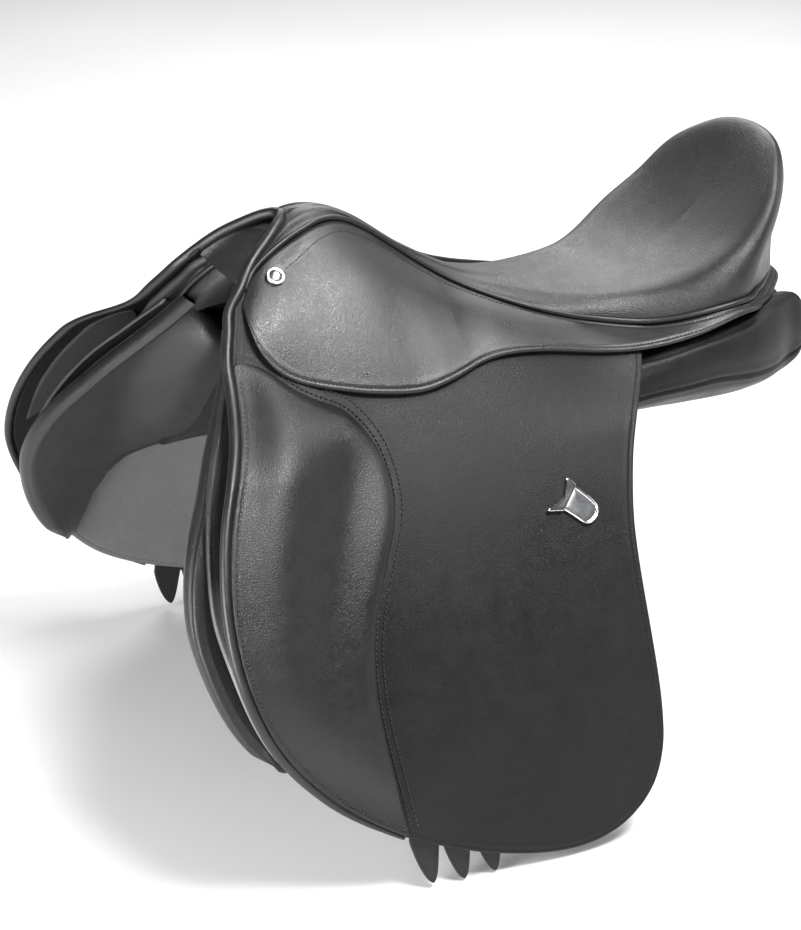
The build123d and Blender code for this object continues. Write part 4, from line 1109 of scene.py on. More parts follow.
def front_sec(x, zt, zb, n_up, tip_n=-7.0, a=(33, 24), deep=1.0):
    zu = zt - 14
    ty, tz = osd(zb, tip_n)
    B = A([ty, tz])
    A0 = A(a, float)
    dr = B - A0
    nn = A([dr[1], -dr[0]]) / np.linalg.norm(dr)
    pts = [(30, zt - 2), (36, zt + 1), osd(zu, n_up), osd(zu - 34, n_up), osd((zu - 34 + zb + 40) / 2, min(n_up + 3, -6)), osd(zb + 34, min(n_up + 9, -6)), osd(zb + 9, -6.2)]
    pts += [tuple(B + A([-2.5, -1.0]))]
    for f, k in ((0.86, 8.0), (0.66, 13.0), (0.42, 13.5), (0.20, 8.5)):
        pts.append(tuple(A0 + dr * f + nn * k * deep))
    pts.append((31.0, a[1] + 6))
    return (x, pts)


def rear_sec(x, ti, tm, U, M, L, bo, bt, ib, im):
    """top inner, top middle, upper seam, gusset middle, lower seam, bottom outer, bottom, inner bottom, inner middle"""
    mid = lambda a, b, o=(0, 0): ((a[0] + b[0]) / 2 + o[0], (a[1] + b[1]) / 2 + o[1])
    return (x, [ti, tm, mid(tm, U, (1, 1.2)), U, M, L, mid(L, bo, (1.6, -1.2)), bo, bt, mid(bt, ib, (0, -1.5)), ib, im, mid(im, ti, (-0.5, 0))])


SECS = [
    front_sec(-196, 36, -101, -18.5), front_sec(-158, 58, -99, -18.5), front_sec(-96, 56, -93, -18.5), front_sec(-70, 50, -89, -9.0, a=(33.5, 17)),
    front_sec(-30, 35, -80, -6.5, a=(34, 4)), front_sec(16, 21, -62, -6.5, a=(34.5, -12), deep=0.8),
    rear_sec(60, (30, 11), (62, 19), (99, 22), (104, 8), (101, -8), (90, -20), (66, -29), (42, -25), (32, -10)),
    rear_sec(100, (30, 11), (64, 23), (100.5, 25), (105, 10), (101, -4), (88, -19), (64, -31.5), (41, -26), (31.5, -9)),
    rear_sec(140, (30, 14), (62, 27), (97, 29), (103.5, 13), (99, -3.5), (84, -21), (62, -34), (42, -27), (32, -7)),
    rear_sec(180, (31, 18), (58, 28), (86, 31), (95.5, 12), (91, -9), (77, -25), (60, -35), (44, -27), (33, -3)),
    rear_sec(212, (33, 20), (52, 34), (70, 36.5), (79.5, 9), (76.0, -13), (67, -26), (56, -33), (44, -23), (35, 0)),
    rear_sec(234, (36, 17), (46, 33), (55, 34), (61.0, 8), (57.5, -14), (54, -24), (49, -28), (43, -19), (38, 0)),
    rear_sec(246, (40, 8), (44, 29), (49, 29), (52.5, 5), (49.5, -9), (49.5, -15), (46.5, -17), (43.5, -12), (41, -2)),
]
NSC = 170
xs = A([s[0] for s in SECS], float)
ctrl = A([s[1] for s in SECS], float)           # sections, 13, 2
xq = np.concatenate([np.linspace(-181, 60, 80), np.linspace(60, 246, 90)[1:]])
ctq = np.zeros((len(xq), 13, 2))
for c in range(13):
    for k in range(2):
        ctq[:, c, k] = pchip(xs, ctrl[:, c, k])(xq)
for _ in range(6):
    ctq[1:-1] = 0.5 * ctq[1:-1] + 0.25 * (ctq[2:] + ctq[:-2])
SEGN = 8
rings = []
for q in ctq:
    f, a, b, t = cubic(q, closed=True, power=0.35)
    tk = t[4:4 + 14]
    u = np.concatenate([np.linspace(tk[i], tk[i + 1], SEGN, endpoint=False) for i in range(13)])
    rings.append(f(u))
rings = A(rings)                                  # n, 104, 2
# seams: upper at control 3, lower at control 5 (rear part)
wseam = sstep(xq, 30, 75)
cen = rings.mean(1, keepdims=True)
dirv = np.roll(rings, -1, 1) - np.roll(rings, 1, 1)
nrm = np.stack([dirv[..., 1], -dirv[..., 0]], -1)
nrm /= np.maximum(np.linalg.norm(nrm, axis=-1, keepdims=True), 1e-9)
nrm *= np.sign((nrm * (rings - cen)).sum(-1).mean(1))[:, None, None]
amt = np.zeros(rings.shape[:2])
for k in (3, 5):
    j = k * SEGN
    prof_ = {0: -1.7, 1: 0.15, -1: 0.15, 2: 0.75, -2: 0.75, 3: 0.6, -3: 0.6}
    for o_, v_ in prof_.items():
        amt[:, (j + o_) % amt.shape[1]] += v_ * wseam
P3 = np.concatenate([np.repeat(xq[:, None, None], rings.shape[1], 1), -rings[..., 0:1], rings[..., 1:2]], -1)
amt += 0.55 * hashnoise(P3, 32.0, 4) + 0.25 * hashnoise(P3, 14.0, 6) * 0.6
rings = rings + nrm * amt[..., None]
# rounded rear end
caps = []
n_end = 16
keep_x = xq <= 231.0
xq, rings = xq[keep_x], rings[keep_x]
for k in range(1, n_end + 1):
    f_ = math.sin(0.5 * math.pi * k / n_end)
    sc = math.sqrt(max(1 - f_ ** 2.1, 0.0))
    cc = rings[-1].mean(0)
    caps.append((xq[-1] + 20.0 * f_, cc + (rings[-1] - cc) * max(sc, 0.03)))
fcaps = []
for k in range(10, 0, -1):
    f_ = math.sin(0.5 * math.pi * k / 10)
    cc = rings[0].mean(0)
    fcaps.append((xq[0] - 13.0 * f_, cc + (rings[0] - cc) * max(math.sqrt(max(1 - f_ ** 2.2, 0.0)), 0.03)))
xall = np.concatenate([[c[0] for c in fcaps], xq, [c[0] for c in caps]])
rall = np.concatenate([A([c[1] for c in fcaps]), rings, A([c[1] for c in caps])], 0)
for _ in range(14):
    r2 = rall.copy()
    r2[-36:-3] = 0.5 * rall[-36:-3] + 0.25 * (rall[-35:-2] + rall[-37:-4])
    rall = r2
for side, which in SIDES:
    R = rall.shape[1]
    V = np.concatenate([np.repeat(xall[:, None, None], R, 1), side * rall[..., 0:1], rall[..., 1:2]], -1)
    F = gridf(len(xall), R, 0, False, True)
    n0 = len(V.reshape(-1, 3))
    F.append(tuple(range(R)))
    F.append(tuple(n0 - R + k for k in range(R))[::-1])
    ob = fix_normals(make("panel_cushion_" + which, V.reshape(-1, 3), F, "cushion_leather"))
    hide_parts("panel_" + which)
    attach(ob, "saddle")

# inner profile of the panel's front end, for the roll to flow into
i0 = int(np.argmin(abs(xq + 176)))
ip = rings[i0][7 * SEGN:]
ip = ip[np.argsort(ip[:, 1])]
pan_y = lambda z: np.interp(z, ip[:, 1], ip[:, 0])

# =============================================================================
# Front rolls: the cushion that stands in front of each panel, with a two-seam facing
# =============================================================================
PF = [(-214, 75), (-219, 66), (-224, 56), (-232, 43), (-245, 24), (-257, 7), (-267, -9), (-279, -27), (-289, -46), (-295, -65), (-297.3, -82), (-296, -98),
      (-291, -119), (-283, -140), (-271, -160), (-256, -175.5)]
RB = [(-256, -175.5), (-249, -177), (-245, -172), (-240, -160), (-233, -137), (-224, -120), (-211, -108), (-194, -102.5), (-176, -100)]
RT = [(-214, 75), (-207, 70), (-197, 61), (-186, 51), (-172, 42)]
RR = [(-172, 42), (-170, 12), (-170, -20), (-172, -60), (-176, -100)]
r_front = even(PF, 150)
nf = np.gradient(r_front, axis=0)
nf /= np.linalg.norm(nf, axis=1, keepdims=True)
nin = np.stack([-nf[:, 1], nf[:, 0]], -1)         # into the roll
IN = 7.0
ins = r_front + nin * (IN * np.minimum(1, np.linspace(0, 1, 150)[::-1] * 14 + 0.12))[:, None]
rb = even([tuple(ins[-1])] + RB[1:], 110)
rt = even([tuple(ins[0])] + RT[1:], 110)
rr = even(RR, 150)
RG = coons(ins, rr, rt, rb)
rx, rz = RG[..., 0], RG[..., 1]
dfr = near(RG, r_front)
dbo = near(RG, A(RB, float)[1:])
dto = near(RG, A(RT, float))
wx = sstep(rx, -252, -182)
y_roll = base(rz) - 30.0
y_pan = pan_y(rz)
flow = sstep(wx + 0.10 * np.sin((rz + 40) / 45.0) * wx * (1 - wx))
y_in = y_roll * (1 - flow) + (y_pan + 0.9) * flow
surf0 = base(rz) - 6.0
T = surf0 - y_in
front_n = 21.0
cf = np.clip((dfr - IN * 0.8) / 34.0, 0, 1)
crown_f = 1 - (1 - cf) ** 2.2
T = np.minimum(T, 200)
Tf = front_n + (T - front_n) * crown_f
cb = np.clip(dbo / 40.0, 0, 1)
crown_b = np.sqrt(np.maximum(1 - (1 - cb) ** 2, 0))
Tb = 3.0 + (Tf - 3.0) * np.where(flow > 0.97, np.maximum(crown_b, 0.0), crown_b)
ct = np.clip(dto / 16.0, 0, 1)
Tt = Tb * (0.55 + 0.45 * np.sqrt(np.maximum(1 - (1 - ct) ** 2, 0))) if True else Tb
R3 = np.stack([rx, -(surf0 - Tt), rz], -1)
pucker = 0.9 * hashnoise(R3, 24.0, 11) + 0.5 * hashnoise(R3, 11.0, 12) * gauss(dbo, 18)
Tt = Tt + pucker * sstep(dfr, IN, IN + 20) * (1 - sstep(rx, -200, -178))
roll_in = np.stack([rx, -(surf0 - Tt), rz], -1)
out_nn = -5.6 - 13.2 * sstep(rx, -214, -204) * (1 - sstep(rz, -60, -90) * 0) * sstep(rz, -110, -80)
roll_out = on_side(rx, rz, out_nn)
# facing strip across the front: (distance in from the outline, n)
FACE = [(6.5, -5.8), (2.5, -5.8), (0.6, -6.3), (0.1, -7.2), (0.9, -8.2), (-0.7, -9.4), (-1.7, -12.0), (-2.0, -15.0), (-1.4, -18.0), (0.2, -20.3), (1.6, -21.4), (1.5, -22.4), (3.0, -23.2), (4.6, -24.6)]
face = []
for dd, nn_ in FACE:
    q = r_front + nin * dd
    face.append(on_side(q[:, 0], q[:, 1], nn_))
# last row is the cushion's own first column
face.append(roll_in[:, 0])
face = A(face)
for _ in range(2):
    face[11:-1] = 0.5 * face[11:-1] + 0.25 * (face[12:] + face[10:-2])
taper = np.minimum(1, np.linspace(0, 1, 150)[::-1] * 14 + 0.1)[None, :, None]
mid_l = face.mean(0, keepdims=True)
face = mid_l + (face - mid_l) * taper
face[-1] = roll_in[:, 0]
for side, which in SIDES:
    nvv, nuu = roll_in.shape[:2]
    V = np.vstack([roll_in.reshape(-1, 3), roll_out.reshape(-1, 3), face.reshape(-1, 3)])
    F = [tuple(reversed(f)) for f in gridf(nvv, nuu, 0)] + gridf(nvv, nuu, nvv * nuu)
    oo = nvv * nuu
    fo = 2 * nvv * nuu
    F += gridf(len(face), nvv, fo)
    # facing back edge to the outer grid's first column, and the rest of the rim
    for i in range(nvv - 1):
        F.append((fo + i, fo + i + 1, oo + (i + 1) * nuu, oo + i * nuu))
    rimr = [(0, j) for j in range(nuu)] + [(i, nuu - 1) for i in range(1, nvv)] + [(nvv - 1, j) for j in range(nuu - 2, -1, -1)]
    ii = [i * nuu + j for i, j in rimr]
    for a, b in zip(ii[:-1], ii[1:]):
        F.append((b, a, a + oo, b + oo))
    ob = fix_normals(make("front_roll_" + which, V if side < 0 else mir(V), F, "panel_leather", weld=0.02))
    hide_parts("knee_roll_" + which)
    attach(ob, "saddle")

# =============================================================================
# Arch: facing over the front of the tree, second piping and lining
# =============================================================================
HEAD = pchip([-40, 30, 50, 74, 92, 100, 108, 115, 122, 132], [-206, -206, -206, -205, -201, -196.5, -190, -181, -169, -152])
RIMX = pchip([-40, 27, 31, 45, 56, 66, 76, 86, 96, 103, 109.5, 117.5, 125, 131, 137.5, 141], [-243, -243, -241, -235, -231, -229, -225, -220, -215, -212, -205, -197, -188, -176.5, -165, -156.5])


def arch_row(zlow, n, top_z, xf, k=60, flat=1.0):
    """Curve over the withers at offset n from the base; xf(height) gives x."""
    zs = np.linspace(zlow, 104, k)
    p = on_side(0 * zs, zs, n, -1)
    pts = [(0, y, z) for _, y, z in p if z < top_z - 6 and y < -9]
    last = pts[-1]
    pts += [(0, last[1] * 0.55, last[2] + (top_z - last[2]) * 0.72), (0, 0, top_z)]
    full = pts + [(q[0], -q[1], q[2]) for q in pts[-2::-1]]
    e = even(full, 161)
    e[:, 0] = xf(e[:, 2])
    return e


rows = [
    arch_row(31, 5.5, 134.0, lambda z: RIMX(np.minimum(z + 4, 141)) + 2.5),
    arch_row(31, 3.0, 130.5, lambda z: RIMX(np.minimum(z + 6, 141)) + 2.0),
    arch_row(31, 0.5, 127.5, lambda z: RIMX(np.minimum(z + 8, 141)) + 3.5),
    arch_row(31, -1.0, 124.0, lambda z: RIMX(np.minimum(z + 9, 141)) + 6.5),
    arch_row(31, -4.0, 121.0, lambda z: HEAD(z + 1) - 4.0),
    arch_row(31, -8.0, 117.0, lambda z: HEAD(z + 4) - 5.5),
    arch_row(31, -13.0, 112.0, lambda z: HEAD(z + 8) - 5.5),
    arch_row(52, -17.5, 107.5, lambda z: HEAD(z + 11) - 3.5),
    arch_row(62, -20.0, 104.5, lambda z: HEAD(z + 13) + 1.0),
    arch_row(66, -20.8, 103.2, lambda z: HEAD(z + 13) + 8.0),
    arch_row(68, -20.8, 103.0, lambda z: HEAD(z + 13) + 28.0),
    arch_row(68, -20.6, 103.0, lambda z: 0 * z - 138.0),
    arch_row(68, -20.6, 103.0, lambda z: 0 * z - 108.0),
]
rows = A(rows)
dn = [cubic(rows[:, j], power=0.5) for j in range(rows.shape[1])]
arch_g = []
for j in range(rows.shape[1]):
    f, a, b, t = dn[j]
    u = np.concatenate([np.linspace(t[i], t[i + 1], 5, endpoint=False) for i in range(len(t) - 1)] + [[t[-1]]])
    arch_g.append(f(u))
arch_g = np.transpose(A(arch_g), (1, 0, 2))
arch_g += (0.35 * hashnoise(arch_g, 16.0, 21))[..., None] * A([1, 0, 0.4])
ga, gb = np.gradient(arch_g, axis=0), np.gradient(arch_g, axis=1)
an = np.cross(ga, gb)
an /= np.maximum(np.linalg.norm(an, axis=-1, keepdims=True), 1e-9)
if (an[30, 80, 0] > 0) != (False):
    an = -an if an[25, 80, 0] > 0 else an
na, nb = arch_g.shape[:2]
V = np.vstack([arch_g.reshape(-1, 3), (arch_g - an * 0.9).reshape(-1, 3)])
F = gridf(na, nb, 0) + [tuple(reversed(f)) for f in gridf(na, nb, na * nb)]
rimr = [(0, j) for j in range(nb)] + [(i, nb - 1) for i in range(1, na)] + [(na - 1, j) for j in range(nb - 2, -1, -1)] + [(i, 0) for i in range(na - 2, 0, -1)]
ii = [i * nb + j for i, j in rimr]
for a, b in zip(ii, ii[1:] + ii[:1]):
    F.append((b, a, a + na * nb, b + na * nb))
ob = fix_normals(make("arch_facing", V, F, "lining_leather"))
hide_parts("arch_lining")
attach(ob, "saddle")
pip2 = arch_row(60, -7.0, 118.5, lambda z: HEAD(z + 3) - 8.0)
ob = cordmesh("arch_piping", pip2, 1.9, "piping_leather", seg=12)
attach(ob, "saddle")
sl = arch_row(60, -1.2, 124.6, lambda z: RIMX(np.minimum(z + 9, 141)) + 5.0)
ob = stitches("stitch_arch", sl, np.tile(A([-0.93, 0, -0.35]), (len(sl), 1)), pitch=3.2, length=2.3, width=0.8)
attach(ob, "saddle")

# gullet lining: leather across the channel between the panels, under the tree
gx = A([-196, -150, -91, -70, -30, 16, 60, 100, 140, 180, 212, 236], float)
gz = A([59, 60, 54, 47, 32, 18, 9.5, 9.0, 12, 18.5, 22.5, 22.0], float)
gxx = np.linspace(-180, 236, 110)
gzz = pchip(gx, gz)(gxx)
gt = np.linspace(-1, 1, 27)
gg = np.stack([np.repeat(gxx[:, None], 27, 1), np.repeat(gt[None] * 37.0, 110, 0), gzz[:, None] + 1.5 + (5.0 + 3.0 * sstep(gxx, -60, -150)[:, None]) * (1 - gt[None] ** 2)], -1)
gg[..., 2] += 0.5 * hashnoise(gg, 20.0, 31) - 0.8 * gauss(gg[..., 1], 1.6)
V = np.vstack([gg.reshape(-1, 3), (gg + A([0, 0, 1.5])).reshape(-1, 3)])
na, nb = gg.shape[:2]
F = gridf(na, nb, 0) + [tuple(reversed(f)) for f in gridf(na, nb, na * nb)]
rimr = [(0, j) for j in range(nb)] + [(i, nb - 1) for i in range(1, na)] + [(na - 1, j) for j in range(nb - 2, -1, -1)] + [(i, 0) for i in range(na - 2, 0, -1)]
ii = [i * nb + j for i, j in rimr]
for a, b in zip(ii, ii[1:] + ii[:1]):
    F.append((b, a, a + na * nb, b + na * nb))
ob = fix_normals(make("gullet_lining", V, F, "lining_leather"))
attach(ob, "saddle")

# suede facing on the inside of each flap's front
LENS = [(-238, 31), (-251, 38), (-266, 39), (-276, 30), (-282, 14), (-286, -8), (-287, -34), (-281, -30), (-268, -9), (-250, 14)]
LZ = [26, 17, 3, -12, -30, -49, -68]
lens_t = even([(-222, 37), (-229, 33)] + [(float(FRONT_X(z_)) + 10.5, z_) for z_ in LZ] + [(-270, -84)], 70)
lens_b = even([(-222, 37), (-214, 28), (-212, 10), (-218, -15), (-230, -40), (-250, -66), (-270, -84)], 70)
lt = even([(-236, 32), (-236.1, 31.5)], 20, smooth=False)
LG = lens_t[:, None] * (1 - np.linspace(0, 1, 24)[None, :, None]) + lens_b[:, None] * np.linspace(0, 1, 24)[None, :, None]
lo_ = np.vstack([lens_t, lens_b[::-1]])
ld = near(LG, lo_)
for side, which in SIDES:
    i_n = FN - 0.15 - 1.3 * edge_round(ld, 1.4)
    o_n = FN + 0.6 + 0 * ld
    ob = slab("flap_facing_" + which, LG, on_side(LG[..., 0], LG[..., 1], o_n), on_side(LG[..., 0], LG[..., 1], i_n), "suede", side)
    fold_blend(ob, side, which)

# =============================================================================
# Girth straps: pointed, punched, worn at the tips
# =============================================================================
BW, BT_, BN, BTOP, BTIP = 22.5, 3.4, 1.8, 16.0, -267.0


def billet(i, side, which):
    x0 = -141.0 + 24 * i
    h = BW / 2 + 0.3
    tipz = BTIP - (5.5, 8.0, 8.0)[i]
    ln_ = 17.0
    zs = np.concatenate([np.linspace(BTOP, tipz + 36, 120), tipz + 36 * (1 - np.linspace(0, 1, 48)[1:] ** 0.8)])
    half = np.where(zs > tipz + 33, h, h * np.clip(((zs - tipz) / 33.0), 0, 1) ** 0.52)
    half = np.maximum(half, 0.5)
    lean = -ln_ * sstep(-zs, 0, 262) + 4.5 * np.clip((tipz + 33 - zs) / 33, 0, 1) ** 1.3
    u = np.linspace(-1, 1, 25)
    u = np.sign(u) * (1 - (1 - abs(u)) ** 1.4)
    X = x0 + lean[:, None] + half[:, None] * u[None]
    Z = np.repeat(zs[:, None], 25, 1)
    d = np.minimum(half[:, None] * (1 - abs(u[None])), np.minimum(BTOP - Z, 99) + 0.0)
    pr_ = edge_round(d, 1.3)
    gr = 0.3 * gauss(half[:, None] * (1 - abs(u[None])) - 2.4, 0.7)
    wv = 0.5 * np.sin(Z / 38.0 + i) * sstep(-Z, 0, 60)
    holes = np.zeros_like(X)
    for j in range(8):
        zh = BTIP + 45 + 25 * j
        xh = x0 - ln_ * float(sstep(-zh, 0, 262))
        rr_ = np.hypot(X - xh, (Z - zh))
        holes += gauss(rr_, 2.3)
    no = BN + BT_ / 2 + BT_ / 2 * pr_ - gr + 0.15 * wv
    ni = BN + BT_ / 2 - BT_ / 2 * pr_ + 0.15 * wv
    GG = np.stack([X, Z], -1)
    ob = slab("girth_strap_%d_%s" % (i + 1, which), GG, on_side(X, Z, no), on_side(X, Z, ni), "strap_leather", side)
    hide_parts("billet_%d_%s" % (i + 1, which))
    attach(ob, "billet_%d_%s" % (i + 1, which))
    # burnished rims round the buckle holes, with the punched hole inside
    V, F = [], []
    for j in range(8):
        zh = BTIP + 45 + 25 * j
        for sgn, nn_ in ((1, BN + BT_ + 0.02), (-1, BN - 0.02)):
            c = on_side(x0 - ln_ * float(sstep(-zh, 0, 262)), zh, nn_, -1)
            nrm_ = side_normal(zh, -1) * sgn
            ex = A([1.0, 0, 0])
            ey = np.cross(nrm_, ex)
            prof2 = [(3.9, 0.0), (3.5, 0.32), (3.0, 0.38), (2.6, 0.15), (2.45, -0.9), (2.3, -1.6)]
            o_ = len(V)
            for r_, hh_ in prof2:
                for a_ in np.linspace(0, 2 * np.pi, 20, endpoint=False):
                    V.append(c + ex * math.cos(a_) * r_ + ey * math.sin(a_) * r_ + nrm_ * hh_)
            F += gridf(len(prof2), 20, o_, False, True)
            F.append(tuple(o_ + 5 * 20 + k for k in range(20)))
    hm = make("strap_holes_%d_%s" % (i + 1, which), V if side < 0 else mir(V), F, "hole_leather")
    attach(hm, "billet_%d_%s" % (i + 1, which))
    for sx in (-1, 1):
        zl = np.linspace(BTOP - 4, tipz + 9, 300)
        hl = np.where(zl > tipz + 33, h, h * np.clip(((zl - tipz) / 33.0), 0, 1) ** 0.52)
        xl = x0 - ln_ * sstep(-zl, 0, 262) + 4.5 * np.clip((tipz + 33 - zl) / 33, 0, 1) ** 1.3 + sx * (hl - 2.6)
        for nm, nn_, sg in (("o", BN + BT_ - 0.12, 1), ("i", BN + 0.12, -1)):
            P = on_side(xl, zl, nn_, side)
            s_ = stitches("stitch_strap_%d_%s_%s_%s" % (i + 1, "f" if sx < 0 else "r", nm, which), P, sg * side_normal(zl, side), pitch=3.8, length=2.7, width=0.7)
            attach(s_, "billet_%d_%s" % (i + 1, which))


leather("hole_leather", (0.006, 0.006, 0.006), (0.012, 0.0115, 0.011), 0.5, grain=0.8, depth=0.00006, creases=0.1)
for side, which in SIDES:
    for i in range(3):
        billet(i, side, which)

# =============================================================================
# Skirt studs: turned nail heads with a rolled rim
# =============================================================================
sn = A([0.0, -0.617, 0.787])
T2, F2s = A([-182.5, -33.0, 124.0]), A([-182.5, -57.7, 104.6])
cc_ = F2s - T2
nn2 = A([0.0, cc_[2], -cc_[1]])
nn2 = nn2 / np.linalg.norm(nn2)
if nn2[2] < 0:
    nn2 = -nn2
stud_o = T2 + cc_ * 0.50 + nn2 * 0.3 + A([1.6, 0, 0])
SR = 0.86
for side, which in SIDES:
    m = (lambda P: A(P)) if side < 0 else mir
    ez = nn2
    ex = A([1.0, 0, 0])
    ey = np.cross(ez, ex)
    prof_s = [(0.0, -2.5), (6.2, -2.5), (7.3, 0.1), (7.75, 0.5), (7.95, 1.0), (7.8, 1.5), (7.3, 1.85), (6.7, 1.95), (6.25, 1.8), (6.0, 1.55), (5.85, 1.5), (5.5, 1.62),
              (4.8, 1.95), (3.9, 2.25), (2.9, 2.48), (2.0, 2.6), (1.0, 2.66), (0.0, 2.68)]
    V, F = [], []
    sg_ = 64
    for r_, h_ in prof_s[1:-1]:
        for a_ in np.linspace(0, 2 * np.pi, sg_, endpoint=False):
            V.append(stud_o + ex * math.cos(a_) * r_ * SR + ey * math.sin(a_) * r_ * SR + ez * h_)
    n_ = len(prof_s) - 2
    F += gridf(n_, sg_, 0, False, True)
    V.append(stud_o + ez * prof_s[0][1])
    V.append(stud_o + ez * prof_s[-1][1])
    b0, t0 = len(V) - 2, len(V) - 1
    for k in range(sg_):
        F.append((b0, (k + 1) % sg_, k))
        F.append((t0, (n_ - 1) * sg_ + k, (n_ - 1) * sg_ + (k + 1) % sg_))
    ob = fix_normals(make("skirt_nail_" + which, m(V), F, "bright_metal"))
    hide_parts("stud_" + which)
    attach(ob, "saddle")

# =============================================================================
# Strap keeper: a cast plate with a hooked bar across its top
# =============================================================================
KX, KZ = -11.0, -41.0
ka, kb = bnormal(A(KZ))
ka, kb = float(ka), float(kb)
kyb = float(base(A(KZ)))
k0 = A([KX, -(kyb + (FN + FT + 0.12) * ka), KZ + (FN + FT + 0.12) * kb])
kez = A([0, -ka, kb])
kex = A([1.0, 0, 0])
key = np.cross(kez, kex)
if key[2] < 0:
    key = -key
kdz = k0[2] - KZ


def kp(x, z):
    return (x - KX, (z - (KZ + kdz)) / ka)


def keeper_piece(name, outline, layers, mat, side, which, closed_top=True):
    """Stack of inset outlines: layers of (inset, height)."""
    O = even(outline + [outline[0]], 97, smooth=False)[:-1]
    for _ in range(2):
        O = 0.6 * O + 0.2 * (np.roll(O, 1, 0) + np.roll(O, -1, 0))
    n_ = len(O)
    tg_ = np.roll(O, -1, 0) - np.roll(O, 1, 0)
    tg_ /= np.linalg.norm(tg_, axis=1, keepdims=True)
    nr = np.stack([-tg_[:, 1], tg_[:, 0]], -1)
    c_ = O.mean(0)
    if ((c_ - O) * nr).sum(1).mean() < 0:
        nr = -nr
    V, F = [], []
    for ins_, h_ in layers:
        Q = O + nr * ins_
        for p in Q:
            V.append(k0 + kex * p[0] + key * p[1] + kez * h_)
    F += gridf(len(layers), n_, 0, False, True)
    top = (len(layers) - 1) * n_
    last = O + nr * layers[-1][0]
    cpt = last.mean(0)
    for f_ in (0.66, 0.33):
        for p in cpt + (last - cpt) * f_:
            V.append(k0 + kex * p[0] + key * p[1] + kez * layers[-1][1])
    F += gridf(3, n_, top, False, True)
    V.append(k0 + kex * cpt[0] + key * cpt[1] + kez * layers[-1][1])
    e = len(V) - 1
    bt = top + 2 * n_
    for k in range(n_):
        F.append((bt + k, bt + (k + 1) % n_, e))
    F.append(tuple(range(n_))[::-1])
    ob = fix_normals(make(name, A(V) if side < 0 else mir(V), F, mat))
    ob.data.polygons.foreach_set("use_smooth", [True] * len(ob.data.polygons))
    md = ob.modifiers.new("es", "EDGE_SPLIT")
    md.split_angle = math.radians(38)
    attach(ob, "flap_" + which)
    return ob


bd = [(4.4, 3.4), (7.6, 0.6), (10.9, -3.2), (13.6, -6.2), (16.1, -9.3), (17.9, -12.4), (18.8, -15.4), (18.5, -18.4), (16.6, -21.5), (13.0, -24.3), (9.6, -25.7), (6.9, -25.6),
      (4.0, -23.9), (1.2, -21.0), (-1.4, -18.3), (-7.4, -12.9), (-8.0, -10.4), (-5.4, -6.4), (-1.0, -2.0), (2.6, 1.6)]
barp = [(-0.7, 9.0), (0.9, 9.1), (2.7, 7.8), (5.0, 4.6), (5.8, 2.9), (5.0, 1.2), (1.2, -2.9), (-4.4, -9.3), (-7.2, -12.6), (-8.8, -13.6), (-13.8, -12.6), (-19.4, -11.9), (-20.9, -10.7),
        (-19.8, -9.3), (-14.6, -9.2), (-10.6, -8.2), (-7.6, -6.2), (-4.3, -3.0), (-1.2, 0.2), (0.5, 2.4), (0.8, 4.4), (0.0, 6.6), (-1.0, 7.8)]
for side, which in SIDES:
    a_ = keeper_piece("keeper_plate_" + which, bd, [(0.0, 0.0), (0.0, 1.5), (0.25, 2.15), (0.8, 2.45), (1.5, 2.3), (1.9, 1.75), (2.15, 1.62)], "bright_metal", side, which)
    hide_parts("keeper_" + which)
    b_ = keeper_piece("keeper_field_" + which, bd, [(2.3, 1.3), (2.3, 1.66), (2.5, 1.72)], "brushed_metal", side, which)
    c_ = keeper_piece("keeper_bar_" + which, barp, [(0.0, 0.0), (0.0, 2.5), (0.25, 3.2), (0.55, 3.6), (0.85, 3.75)], "bright_metal", side, which)

# =============================================================================
# Carried-over CAD nodes: their own procedural finishes
# =============================================================================
def paint(names, mat):
    for n in names:
        if n in NODES:
            o = NODES[n]
            o.data.materials.clear()
            o.data.materials.append(MATS[mat])


both = lambda *a: [x + e for x in a for e in ("_left", "_right")]
for o in NODES.values():
    o.data.materials.clear()
    o.data.materials.append(MATS["lining_leather"])
paint(both("stirrup_bar", "catch", "catch_pin", "bar_rivets"), "forged_steel")
paint(["gullet_plate", "head_rivets"] + both("seat_spring"), "blued_steel")
paint(["tree_head", "tree_cantle"] + both("tree_rail"), "tree_laminate")
paint(["seat_web_long", "seat_web_cross"] + both("girth_web"), "webbing")
paint(["seat_foam"], "foam")
paint(both("stud", "keeper"), "bright_metal")

# =============================================================================
# Stage, camera, lights
# =============================================================================
def floor_material():
    nt, b = material("floor_pale")
    v = coords(nt)
    n = noise(nt, v, 3.0, 3.0)
    nt.links.new(ramp(nt, n, [(0.35, (0.60, 0.60, 0.60)), (0.65, (0.62, 0.62, 0.62))]), b.inputs["Base Color"])
    nt.links.new(mapr(nt, n, 0.75, 0.85), b.inputs["Roughness"])


floor_material()
FZ = -277.0
n_f = 61
fx = np.linspace(-1, 1, n_f)
ff = np.sign(fx) * abs(fx) ** 1.6 * 9000
VV = np.stack([np.repeat(ff[:, None], n_f, 1), np.repeat(ff[None], n_f, 0), np.full((n_f, n_f), FZ)], -1)
floor = make("floor", VV.reshape(-1, 3), gridf(n_f, n_f), "floor_pale")

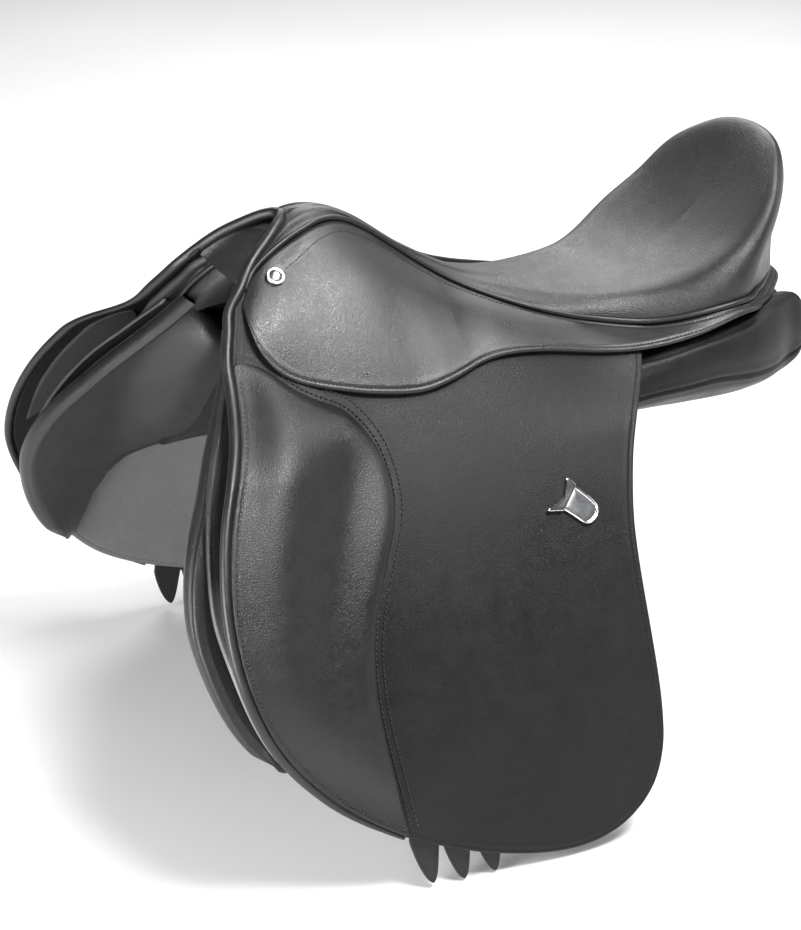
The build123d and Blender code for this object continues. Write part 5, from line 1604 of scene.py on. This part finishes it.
cam = bpy.data.objects.new("camera", bpy.data.cameras.new("camera"))
bpy.context.scene.collection.objects.link(cam)
bpy.context.scene.camera = cam
th, el, D = math.radians(26.0), math.radians(24.6891), 2.5
dvec = Vector((math.sin(th) * math.cos(el), math.cos(th) * math.cos(el), -math.sin(el)))
tgt = Vector((-0.0628639, 0.0, -0.0706312))
cam.location = tgt - dvec * D
cam.rotation_euler = dvec.to_track_quat("-Z", "Y").to_euler()
cam.data.sensor_fit = "AUTO"
cam.data.sensor_width = 36.0
cam.data.lens = 3397.9459 / 930.0 * 36.0
cam.data.clip_end = 50.0

view = bpy.context.scene.view_settings
view.view_transform = "Standard"
view.look = "None"
view.exposure = 0.0
view.gamma = 1.0

world = bpy.data.worlds.new("studio")
bpy.context.scene.world = world
world.use_nodes = True
bg = world.node_tree.nodes["Background"]
bg.inputs["Color"].default_value = (0.93, 0.94, 0.95, 1)
bg.inputs["Strength"].default_value = 0.12


def area(name, loc, aim, size, power, size_y=None, spread=None):
    l = bpy.data.lights.new(name, "AREA")
    l.energy = power
    l.size = size
    if size_y:
        l.shape = "RECTANGLE"
        l.size_y = size_y
    if spread:
        l.spread = math.radians(spread)
    o = bpy.data.objects.new(name, l)
    o.location = loc
    o.rotation_euler = (Vector(aim) - Vector(loc)).to_track_quat("-Z", "Y").to_euler()
    bpy.context.scene.collection.objects.link(o)
    return o


area("key_box", (0.30, -1.18, 2.00), (-0.08, -0.08, 0.02), 0.80, 94.0, 0.60)
area("top_box", (0.72, -0.20, 1.85), (0.05, -0.05, 0.05), 0.8, 30.0, 0.6)
area("back_strip", (0.75, 1.60, 0.95), (0.08, 0.0, 0.05), 1.5, 24.0, 0.4)
area("right_strip", (1.9, -0.15, 0.5), (0.15, 0.0, 0.0), 0.25, 7.0, 1.0)
area("left_strip", (-0.45, -2.05, 0.15), (-0.2, -0.15, -0.05), 0.30, 10.0, 1.2)
area("front_soft", (-1.75, -0.35, 0.55), (-0.2, 0.12, -0.10), 0.7, 26.0, 0.6)
area("front_low", (-0.85, -0.42, 0.06), (-0.22, 0.17, -0.14), 0.40, 6.5, 0.35)
